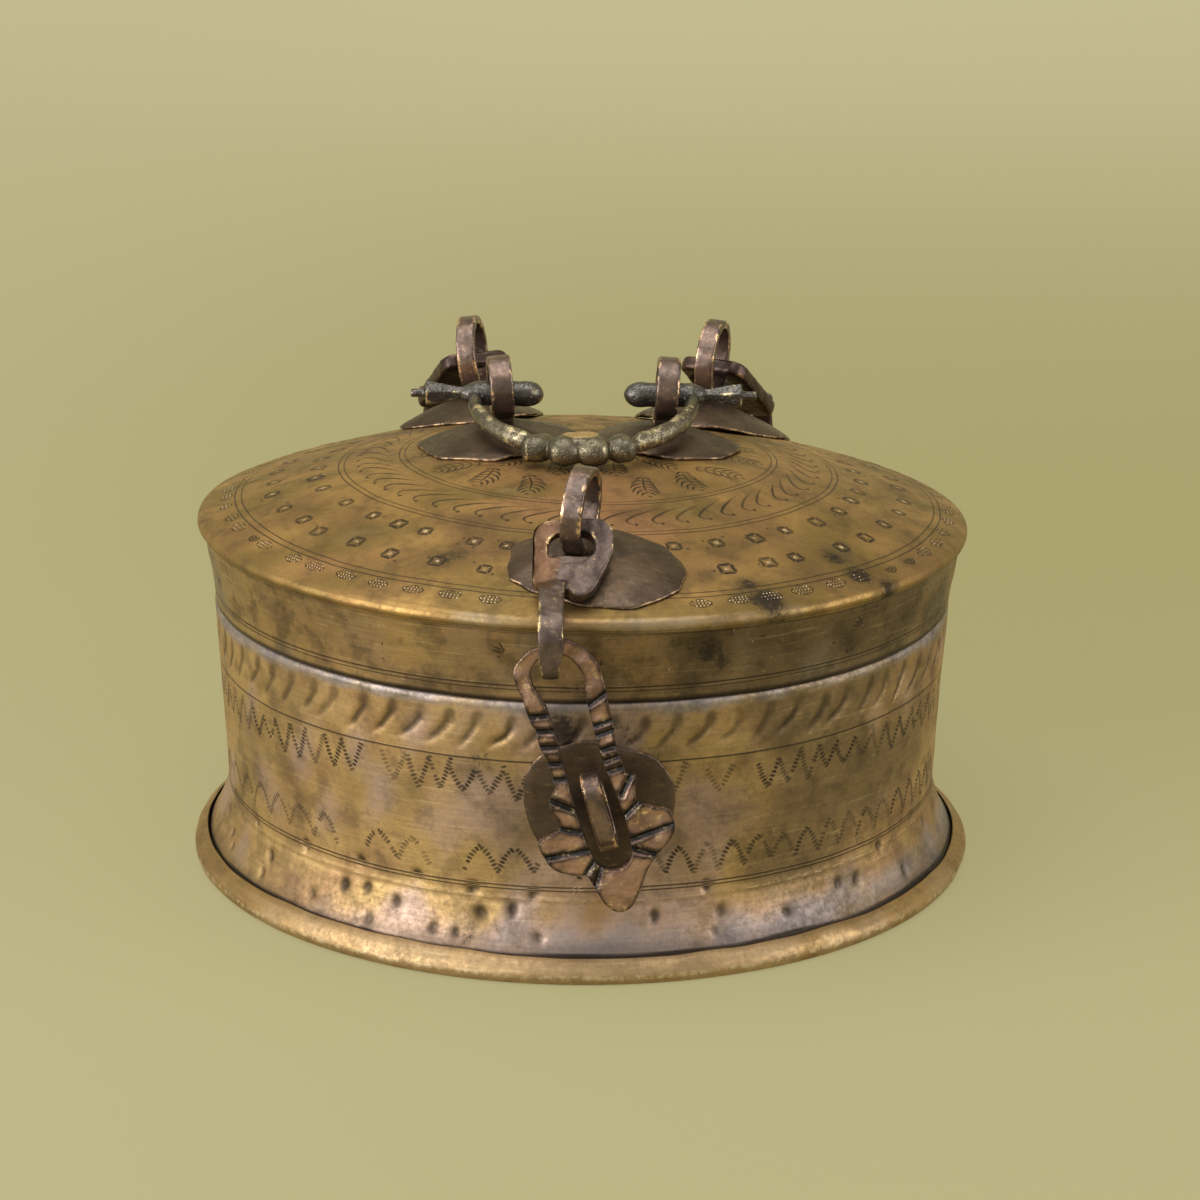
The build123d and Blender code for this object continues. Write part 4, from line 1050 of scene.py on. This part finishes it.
# ---- hasp link: a hammered plate with a ridge, narrowing to its hook ----
LINK_CENTRE = np.array((0.0, -64.0145, 92.5605))
LINK_ANGLE = math.radians(42)
LINK_OUT = np.array((0, -math.cos(LINK_ANGLE), -math.sin(LINK_ANGLE)))
LINK_UP = np.array((0, -math.sin(LINK_ANGLE), math.cos(LINK_ANGLE)))
HOOK_MIDDLE, HOOK_HALF = -5.5, 3.4


def ridge_at(along):
    """Where the ridge between the plate's two facets runs."""
    return -3.2 - 1.9 * unit((along - 8) / 13)


def hammered_plate(v):
    """Skews and hammers the plate end of the hasp link into two facets and narrows the hook."""
    w = v - LINK_CENTRE
    along, up, x = w @ LINK_OUT, w @ LINK_UP, v[:, 0].copy()
    plate = np.maximum(ramp(-along, -20, -17), ramp(x, -2.0, -0.8) * (along < 21))
    along = along + 1.6 * ramp(x, -2.2, -0.8) * ramp(along, 14, 20) * (along < 21)
    x = x - 5.0 * unit((along - 10) / 12) * ramp(x, -2, 5.5)
    up = up + 0.35 * ramp(-up, 0, 1) * ramp(along, 17, 20) * plate
    top = ramp(up, -0.4, 0.6) * plate
    up = up - top * 0.34 * np.maximum(0, ridge_at(along) - x) - top * 0.10 * np.maximum(0, x - 2.5)
    up -= top * 0.28 * (0.5 + 0.5 * wave(np.stack([x, along, 0 * x], 1), 3.4, 71))
    along = along + plate * 0.5 * wave(np.stack([x, 0 * x, along], 1), 6, 72) * ramp(along, 14, 20)
    out = LINK_CENTRE + along[:, None] * LINK_OUT + up[:, None] * LINK_UP
    hook = 1 - plate
    across = (x - HOOK_MIDDLE) / HOOK_HALF
    out[:, 0] = x + hook * (HOOK_MIDDLE - x) * (0.10 + 0.30 * ramp(-v[:, 2], -74, -66))
    out[:, 2] += hook * 0.5 * np.clip(across, -1, 1) ** 2 * ramp(-v[:, 2], -66.8, -65.6)
    out[:, 1] = np.maximum(out[:, 1], -92.76)
    return out


def plate_zones(v):
    """The plate's left facet is redder than the rest."""
    along = (v - LINK_CENTRE) @ LINK_OUT
    left = ridge_at(along) - v[:, 0] + 0.9 * wave(v, 2.6, 73)
    return {"rosy": 0.75 * ramp(left, -0.7, 0.9) * ramp(-along, -20.5, -18)}


# a block added inside the link before it is remeshed
corners = np.array([(x, along, up) for x in (-7.5, 4.8) for along in (11.0, 14.4) for up in (-1.3, 1.3)])
filler = (LINK_CENTRE + corners[:, 1:2] * LINK_OUT + corners[:, 2:] * LINK_UP + corners[:, :1] * (1, 0, 0),
          [(0, 1, 3, 2), (4, 6, 7, 5), (0, 4, 5, 1), (2, 3, 7, 6), (0, 2, 6, 4), (1, 5, 7, 3)])
forge("hasp_link", plate_metal, "hasp_link", 0.27, rough=0.07, shape=hammered_plate,
      extras=[filler], seed=33, zones=plate_zones, wear=1.2)

# ---- hasp: a filed outline cut from plate, notched across its legs ----
# places in the plane of the hasp: to the right, and down from its upper bar
HASP_OUTER = ((3.73, -1.88), (1.24, -2.35), (-2.16, -1.93), (-5.18, -0.51), (-7.26, 1.41), (-7.63, 4.26),
              (-7.12, 7.12), (-7.09, 10.1), (-6.87, 12.44), (-6.36, 13.72), (-6.51, 15.51), (-6.48, 18.04),
              (-5.82, 19.92), (-6.03, 21.61), (-5.82, 23.51), (-6.03, 25.06), (-5.96, 26.7), (-7.65, 28.31),
              (-7.74, 30.37), (-7.07, 34.26), (-11.7, 35.77), (-12.04, 37.76), (-11.47, 40.48),
              (-10.05, 42.51), (-7.41, 44.18), (-5.14, 44.81), (-4.52, 45.77), (-3.95, 47.71),
              (-3.09, 51.0), (-2.21, 52.65), (-0.97, 53.79), (1.04, 53.78), (2.69, 52.59), (4.71, 50.11),
              (6.9, 46.97), (9.32, 44.61), (12.29, 42.64), (14.04, 40.57), (14.43, 38.82), (14.11, 36.42),
              (11.15, 34.67), (8.72, 33.07), (8.9, 30.81), (9.73, 28.28), (9.23, 27.22), (7.94, 27.09),
              (7.97, 26.18), (7.72, 23.12), (7.75, 20.61), (8.34, 16.42), (8.35, 13.69), (8.76, 10.61),
              (8.83, 7.68), (8.8, 4.95), (7.83, 2.19), (6.27, -0.05))
HASP_INNER = ((2.9, 1.05), (4.37, 2.82), (5.35, 5.58), (5.29, 7.38), (4.79, 9.97), (4.57, 13.1),
              (4.44, 16.71), (4.43, 19.92), (4.51, 23.61), (4.7, 26.88), (5.01, 29.74), (5.29, 33.51),
              (5.49, 36.81), (5.27, 41.0), (4.68, 43.36), (3.11, 44.82), (0.96, 45.19), (-1.1, 44.62),
              (-2.38, 43.07), (-3.02, 40.56), (-3.32, 36.69), (-3.39, 32.96), (-3.33, 28.81),
              (-3.28, 24.67), (-3.26, 21.46), (-3.12, 17.83), (-3.06, 13.72), (-3.33, 10.0), (-3.75, 7.6),
              (-4.5, 5.58), (-4.39, 3.34), (-3.37, 1.58), (-1.73, 0.45), (0.53, 0.17))
HASP_CUTS = (((-7.33, 10.94), (-3.93, 11.65)), ((-6.68, 14.09), (-3.62, 14.94)),
             ((-6.36, 17.62), (-3.44, 18.2)), ((-6.13, 21.03), (-3.35, 21.8)),
             ((-6.06, 24.37), (-3.37, 25.02)), ((-7.49, 28.35), (-3.79, 31.23)),
             ((5.65, 11.57), (8.24, 10.47)), ((5.15, 16.22), (8.05, 15.89)), ((5.17, 18.06), (7.77, 17.86)),
             ((4.83, 21.17), (7.76, 21.07)), ((4.97, 23.51), (7.6, 23.23)), ((5.18, 25.63), (8.15, 25.54)),
             ((-6.92, 34.53), (-3.61, 36.14)), ((-10.76, 39.52), (-2.72, 40.11)),
             ((-4.87, 44.65), (-2.5, 42.5)), ((5.48, 40.06), (13.64, 39.3)), ((5.35, 42.11), (9.79, 44.51)),
             ((6.29, 34.71), (8.93, 33.13)), ((6.65, 30.19), (8.58, 27.96)),
             ((-3.95, 47.71), (-1.51, 43.71)))
HASP_THICK, HASP_SHIFT = 2.6, -0.4
HASP_LEAN, HASP_TILT = math.radians(2.8), math.radians(16)
HASP_FACE = np.array((0, -math.cos(HASP_LEAN), math.sin(HASP_LEAN)))
HASP_UP = np.array((-math.sin(HASP_TILT), math.sin(HASP_LEAN) * math.cos(HASP_TILT),
                    math.cos(HASP_LEAN) * math.cos(HASP_TILT)))
HASP_RIGHT = np.cross(HASP_UP, HASP_FACE)
HASP_PLACE = np.array((-5.5, -88, 70.5)) + 0.35 * HASP_UP


def flat_plate(name, loops, thick):
    """A filled outline with its hole, given thickness; x to the right and y down, in millimetres."""
    curve = bpy.data.curves.new(name, "CURVE")
    curve.dimensions = "2D"
    curve.fill_mode = "BOTH"
    curve.extrude = thick / 2 * MM
    for loop in loops:
        spline = curve.splines.new("POLY")
        spline.points.add(len(loop) - 1)
        for point, (x, y) in zip(spline.points, loop):
            point.co = (x * MM, y * MM, 0, 1)
        spline.use_cyclic_u = True
    return real_mesh(bpy.data.objects.new(name, curve))


def closed_curve(points):
    """A smooth closed line through points."""
    line, steps = list(points), 4
    return curve_through(line[-2:] + line + line[:3], steps)[2 * steps:-2 * steps][:len(line) * steps]


def cut_depth(u, down, reach, deep):
    """Depth of the file cuts, each a V whose sides reach so far from its line."""
    out = np.zeros(len(u))
    p = np.stack([u, down], 1)
    for a, b in HASP_CUTS:
        a, b = np.array(a), np.array(b)
        along = (b - a) / np.linalg.norm(b - a)
        a, b = a - along * 0.9, b + along * 0.5
        t = unit(((p - a) @ along) / np.linalg.norm(b - a))
        gap = np.linalg.norm(p - a - t[:, None] * (b - a), axis=1)
        out = np.maximum(out, deep * unit(1 - gap / reach))
    return out


def filed_hasp(v):
    """Cuts the flat hasp's face, thins its upper bar to clear the hook, and stands it in its place."""
    u, down, n = v[:, 0], v[:, 1], v[:, 2]
    n = n + ramp(n, 0, 1.2) * (0.25 * wave(v * (1, 1, 0), 9, 81) + 0.08 * wave(v * (1, 1, 0), 2.5, 82) - 0.16)
    n = np.where(n > -0.9, np.minimum(n, HASP_THICK / 2 + 0.15 - cut_depth(u, down, 1.05, 1.15)), n)
    n = n * (1 - 0.45 * ramp(-down, -4.0, -1.0))
    down = np.maximum(down, -1.62)
    return (HASP_PLACE + (u + HASP_SHIFT)[:, None] * HASP_RIGHT - down[:, None] * HASP_UP
            + n[:, None] * HASP_FACE)


def hasp_zones(v):
    """Dark cuts, painted shade on the half that faces the wall, and less wear where the cuts are."""
    rel = v - HASP_PLACE
    u, down, n = rel @ HASP_RIGHT - HASP_SHIFT, -(rel @ HASP_UP), rel @ HASP_FACE
    return {"steel": unit(1.5 * cut_depth(u, down, 1.0, 1.0) * (n > -0.3)),
            # painted shade on the hasp's back half, towards the wall
            "soot": 0.75 * ramp(-n, -0.7, 0.2),
            "calm": 0.9 * unit(1.8 * cut_depth(u, down, 1.3, 1.0))}


outline = flat_plate("hasp_outline", (closed_curve(HASP_OUTER), closed_curve(HASP_INNER)), HASP_THICK)
forge("hasp", hasp_metal, "hasp", 0.24, rounds=4, rough=0.06, shape=filed_hasp, source=outline,
      seed=34, zones=hasp_zones, wear=2.2)

# ---- bail: cast bar with four lobes and a boss, faceted finials, bullet ends on its pins ----
PIN_Y, PIN_Z = 6.993, 98.483
# middle and half sizes of each lobe
LOBES = ((-9.5, -18.6, 93.1, 3.3, 3.1, 3.0), (-3.7, -20.4, 93.05, 3.5, 3.6, 3.3),
         (2.2, -20.4, 93.05, 3.5, 3.6, 3.3), (8.1, -18.7, 93.1, 3.3, 3.1, 3.0))
BOSS = (-0.5, -18.9, 95.4)
# the bow's middle line: distance from the middle of the box, y and height
BOW = ((11, -15.6, 93.7), (15, -13.4, 94.2), (20, -7.6, 95.5), (23, -2.4, 96.9), (25, 2.0, 98.0))


def cast_bail(v):
    """Turns the round finials into six-sided ones that widen outwards."""
    out = v.copy()
    side = np.abs(v[:, 0])
    y, z = v[:, 1] - PIN_Y, v[:, 2] - PIN_Z
    r, turn = np.hypot(y, z), np.arctan2(z, y)
    finial = ramp(side, 24.5, 26.5) * ramp(-side, -34.7, -34.2) * (v[:, 1] > 1.5)
    facet = math.cos(math.pi / 6) / np.cos((turn + 0.35) % (math.pi / 3) - math.pi / 6)
    grow = (0.90 + 0.24 * ramp(side, 26, 33.8)) * (1.06 * facet) * finial + 1 - finial
    out[:, 1], out[:, 2] = PIN_Y + r * grow * np.cos(turn), PIN_Z + r * grow * np.sin(turn)
    return out


def thick_bail(v):
    """Swells the bow about its middle line, then shapes the finials."""
    side = np.abs(v[:, 0])
    bow = ramp(-v[:, 1], -1.5, 5) * ramp(side, 10.5, 12)
    x, y, z = zip(*BOW)
    middle = np.stack([v[:, 0], np.interp(side, x, y), np.interp(side, x, z)], 1)
    away = v - middle
    length = np.linalg.norm(away, axis=1)[:, None]
    v = v + away / np.maximum(length, 0.5) * 0.62 * bow[:, None]
    v[:, 2] = np.maximum(v[:, 2], dome_height(np.hypot(v[:, 0], v[:, 1])) + 0.1)
    ridge = ramp(v[:, 2] - middle[:, 2], 0.6, 1.8) * bow * ramp(-np.abs(length[:, 0] - 2.2), -1.2, -0.2)
    v[:, 2] += 0.2 * ridge
    boss = ramp(-np.hypot((v[:, 0] - BOSS[0]) / 4.3, (v[:, 1] - BOSS[1]) / 2.9), -1.05, -0.95)
    v[:, 2] = np.where(v[:, 2] > 96.35, v[:, 2] * (1 - boss) + 96.4 * boss, v[:, 2])
    return cast_bail(v)


def bail_zones(v):
    """Grey finials and pins, and a rubbed flat on the boss."""
    flat = ramp(-np.hypot((v[:, 0] - BOSS[0]) / 3.7, (v[:, 1] - BOSS[1]) / 2.4), -1.1, -0.9)
    return {"steel": ramp(v[:, 1], 1, 4), "rosy": flat * ramp(v[:, 2], 96.1, 96.3)}


bullets = [blob((side * 12.2, PIN_Y, PIN_Z), (3.6, 2.88, 2.88)) for side in (-1, 1)]
lobes = [blob(lobe[:3], lobe[3:], -lobe[0] * 1.6, 0.6) for lobe in LOBES]
lobes.append(blob(BOSS, (4.3, 3.0, 1.15), 0, 0.6))
forge("bail", bail_metal, "bail", rounds=5, rough=0.08, shape=thick_bail,
      extras=bullets + lobes, seed=35, zones=bail_zones, wear=1.3)


# ---- washers: snipped sheet, raised in the middle and lying on the metal at the edge ----
def snipped(corners, steps, seed, rough):
    """A closed outline with nearly straight sides between snipped corners."""
    corners = np.asarray(corners, float)
    rng = np.random.default_rng(seed)
    out = []
    for a, b in zip(corners, np.roll(corners, -1, 0)):
        bow = rng.uniform(0.0, 0.05)
        side = np.array([(b - a)[1], -(b - a)[0]])
        for t in np.arange(steps) / steps:
            out.append(a + (b - a) * t + side * bow * 4 * t * (1 - t))
    out = np.array(out)
    for _ in range(3):
        out = 0.6 * out + 0.2 * (np.roll(out, 1, 0) + np.roll(out, -1, 0))
    return out + rough * np.stack([wave(out, 4, seed + 1), wave(out, 4, seed + 2)], 1)


def round_corners(x, y, radius, count, seed):
    """Corners of a round piece snipped from sheet by eye."""
    rng = np.random.default_rng(seed)
    at = (np.arange(count) + rng.uniform(-0.28, 0.28, count)) * 2 * math.pi / count + rng.uniform(0, 1)
    r = radius * (1 + rng.uniform(-0.06, 0.06, count))
    return np.stack([x + r * np.cos(at), y + r * np.sin(at)], 1)


def washer(node, body, outline, centre, place, rise, thick=0.7, edge_lift=0.0, seed=0):
    """A closed shell between two skins; `place` turns flat positions and a lift into space."""
    flat = centre + WASHER_RINGS[:, None, None] * (outline - np.array(centre))
    swell = rise * (1 - WASHER_RINGS ** 1.35)[:, None]
    uneven = unit(0.10 * wave(flat, 11, 600 + seed) + 0.05 * wave(flat, 4, 610 + seed))
    curl = edge_lift * unit(wave(flat, 16, 620 + seed) + 0.3) * (WASHER_RINGS ** 4)[:, None]
    under = WASHER_GAP + swell + curl + uneven
    top = under + thick * (1 - 0.35 * ramp(WASHER_RINGS, 0.93, 1.0))[:, None]
    skin = np.concatenate([place(flat[..., 0], flat[..., 1], top),
                           place(flat[::-1, :, 0], flat[::-1, :, 1], under[::-1])])
    rings, around = skin.shape[:2]
    shine, dull = np.zeros((rings, around)), np.zeros((rings, around))
    shine[rings // 2 - 1:rings // 2 + 1] = 0.55
    dull[:4] = 0.35
    looks = {"wear": shine, "grime": dull, "soot": unit(0.22 + 0.2 * wave(skin, 9, 630 + seed))}
    quad_piece(node + "_cut", skin, ring_faces(rings, around, False), washer_metal, body,
               node, looks)


def middle_rise(node, x, y):
    """Height of the model's washer at its hole, above the lid's sheet as it lies here."""
    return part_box(node)[1][2] / MM - 0.7 - float(on_dome(x, y, 0.0)[2])


OUTLINE_POINTS, WASHER_GAP = 72, 0.08     # points round a washer, and its edge's height above the sheet
WASHER_RINGS = np.array((0.02, 0.1, 0.2, 0.32, 0.45, 0.58, 0.7, 0.8, 0.88, 0.94, 0.975, 1.0))
HASP_WASHER = ((-14.5, -64.6), (-13.7, -57.1), (-4.2, -51.6), (7.8, -51.8), (16.7, -56.8), (21.3, -64.5),
               (19.5, -71.6), (15.6, -75.0), (10.3, -78.6), (0.0, -78.2), (-9.8, -73.5), (-13.8, -69.4))
LOCK_WASHER = ((-8.2, 40.4), (-7.0, 30.8), (-5.2, 26.8), (-2.7, 22.8), (2.0, 21.0), (7.5, 21.8), (11.4, 26.6),
               (14.0, 33.5), (14.1, 38.4), (13.2, 42.2), (10.8, 46.2), (6.0, 48.4), (0.2, 50.0), (-5.3, 47.2))
# node, middle, radius, number of corners, draw, place of its hole, curl of its edge
ROUND_WASHERS = (("bail_washer_left", (-18.4, 1.5), 17.0, 8, 5, (-17.2, 6.7), 0.5),
                 ("bail_washer_right", (18.0, 3.4), 16.6, 8, 8, (17.2, 6.7), 0.5),
                 ("hinge_lid_washer_left", (-25.1, 46.2), 17.1, 9, 13, (-25.8, 46.9), 0.7),
                 ("hinge_lid_washer_right", (29.0, 44.6), 18.6, 9, 17, (25.8, 46.9), 0.7))
for seed, (node, middle, radius, count, draw, hole, curl) in enumerate(ROUND_WASHERS, 1):
    outline = snipped(round_corners(*middle, radius, count, draw), OUTLINE_POINTS // count, seed, 0.12)
    washer(node, "lid", outline, hole, on_dome, middle_rise(node, *hole), seed=seed, edge_lift=curl)
washer("hasp_lid_washer", "lid", snipped(HASP_WASHER, 7, 5, 0.1)[::-1], (1.0, -62.5), on_dome,
       middle_rise("hasp_lid_washer", 0, -61.2), seed=5, thick=0.6)
washer("lock_washer", "body", snipped([(math.radians(a) * WALL_ROUND, z) for a, z in LOCK_WASHER], 6, 6, 0.1),
       (4.1, 37.0), on_wall, 0.12, seed=6, thick=0.62)
for node, material in (("hinge_wall_washer_left", washer_metal), ("hinge_wall_washer_right", washer_metal),
                       ("neck_ring", neck_metal)):
    nodes[node].data.materials.clear()
    nodes[node].data.materials.append(material)


# ---- floor, backdrop and light ----
# the share of the paper seen as a glow, with its painted light and shade
OWN_TONE = 0.72                           # share of the paper's own colour in what the camera sees of it


def stage():
    """One curved sheet of paper; the camera and reflections see most of its own tone, as a glow that carries
    painted light and shade.
    """
    t = Nodes("paper")
    at = t.node("SeparateXYZ", Vector=t.node("TexCoord").outputs["Object"])
    # painted light and shade: darker across the middle, lighter towards the top and towards the left
    colour = t.mix(t.range(at.outputs["Y"], -0.15, 0.25), (180, 172, 127), (166, 158, 109))
    colour = t.mix(t.range(at.outputs["Y"], 0.25, 1.3), colour, (200, 192, 151))
    colour = t.mix(t.range(at.outputs["X"], 0.05, -0.30, 0.0, 0.55), colour, (192, 184, 142))
    grain = t.noise(1.4, 3, 0.6)
    colour = t.mix(t.range(grain, 0.3, 0.7, 0.0, 0.10), colour, (176, 168, 122))
    t.link(colour, t.shader.inputs["Base Color"])
    t.shader.inputs["Roughness"].default_value = 0.9
    t.shader.inputs["Specular IOR Level"].default_value = 0.1
    path = t.node("LightPath").outputs
    seen = t.math("MAXIMUM", t.math("MAXIMUM", path["Is Camera Ray"], path["Is Glossy Ray"]),
                  path["Is Transmission Ray"])
    glow = t.node("Emission", Color=colour, Strength=1.0)
    both = t.node("MixShader")
    t.link(t.math("MULTIPLY", seen, OWN_TONE), both.inputs[0])
    t.link(t.shader.outputs[0], both.inputs[1])
    t.link(glow.outputs[0], both.inputs[2])
    t.link(both.outputs[0], t.tree.nodes["Material Output"].inputs["Surface"])
    line = [(-2.2, 0.0), (0.9, 0.0)]
    for k in range(1, 13):
        a = k / 12 * math.pi / 2
        line.append((0.9 + 0.5 * math.sin(a), 0.5 - 0.5 * math.cos(a)))
    line.append((1.4, 2.6))
    verts = [(x, y, z) for y, z in line for x in (-2.5, 2.5)]
    faces = [(2 * i, 2 * i + 1, 2 * i + 3, 2 * i + 2) for i in range(len(line) - 1)]
    mesh = bpy.data.meshes.new("paper")
    mesh.from_pydata(verts, [], faces)
    for p in mesh.polygons:
        p.use_smooth = True
    mesh.materials.append(t.material)
    paper = bpy.data.objects.new("paper", mesh)
    scene.collection.objects.link(paper)


stage()


def area(name, place, size, power):
    """A rectangular light aimed at the box."""
    light = bpy.data.lights.new(name, "AREA")
    light.shape = "RECTANGLE"
    light.size, light.size_y = size
    light.energy = power
    lamp = bpy.data.objects.new(name, light)
    lamp.location = place
    lamp.rotation_euler = (AIM - Vector(place)).to_track_quat("-Z", "Y").to_euler()
    scene.collection.objects.link(lamp)


AIM = Vector((0, 0, 0.05))
area("top", (-0.15, -0.1, 1.3), (1.3, 1.1), 11)
area("left", (-1.2, -0.8, 0.5), (1.5, 1.1), 25)
area("right", (1.35, -0.4, 0.5), (1.0, 1.0), 10)
world = bpy.data.worlds.new("studio")
scene.world = world
world.use_nodes = True
world.node_tree.nodes["Background"].inputs["Color"].default_value = (0.80, 0.79, 0.74, 1)
world.node_tree.nodes["Background"].inputs["Strength"].default_value = 0.55
scene.view_settings.view_transform = "Standard"
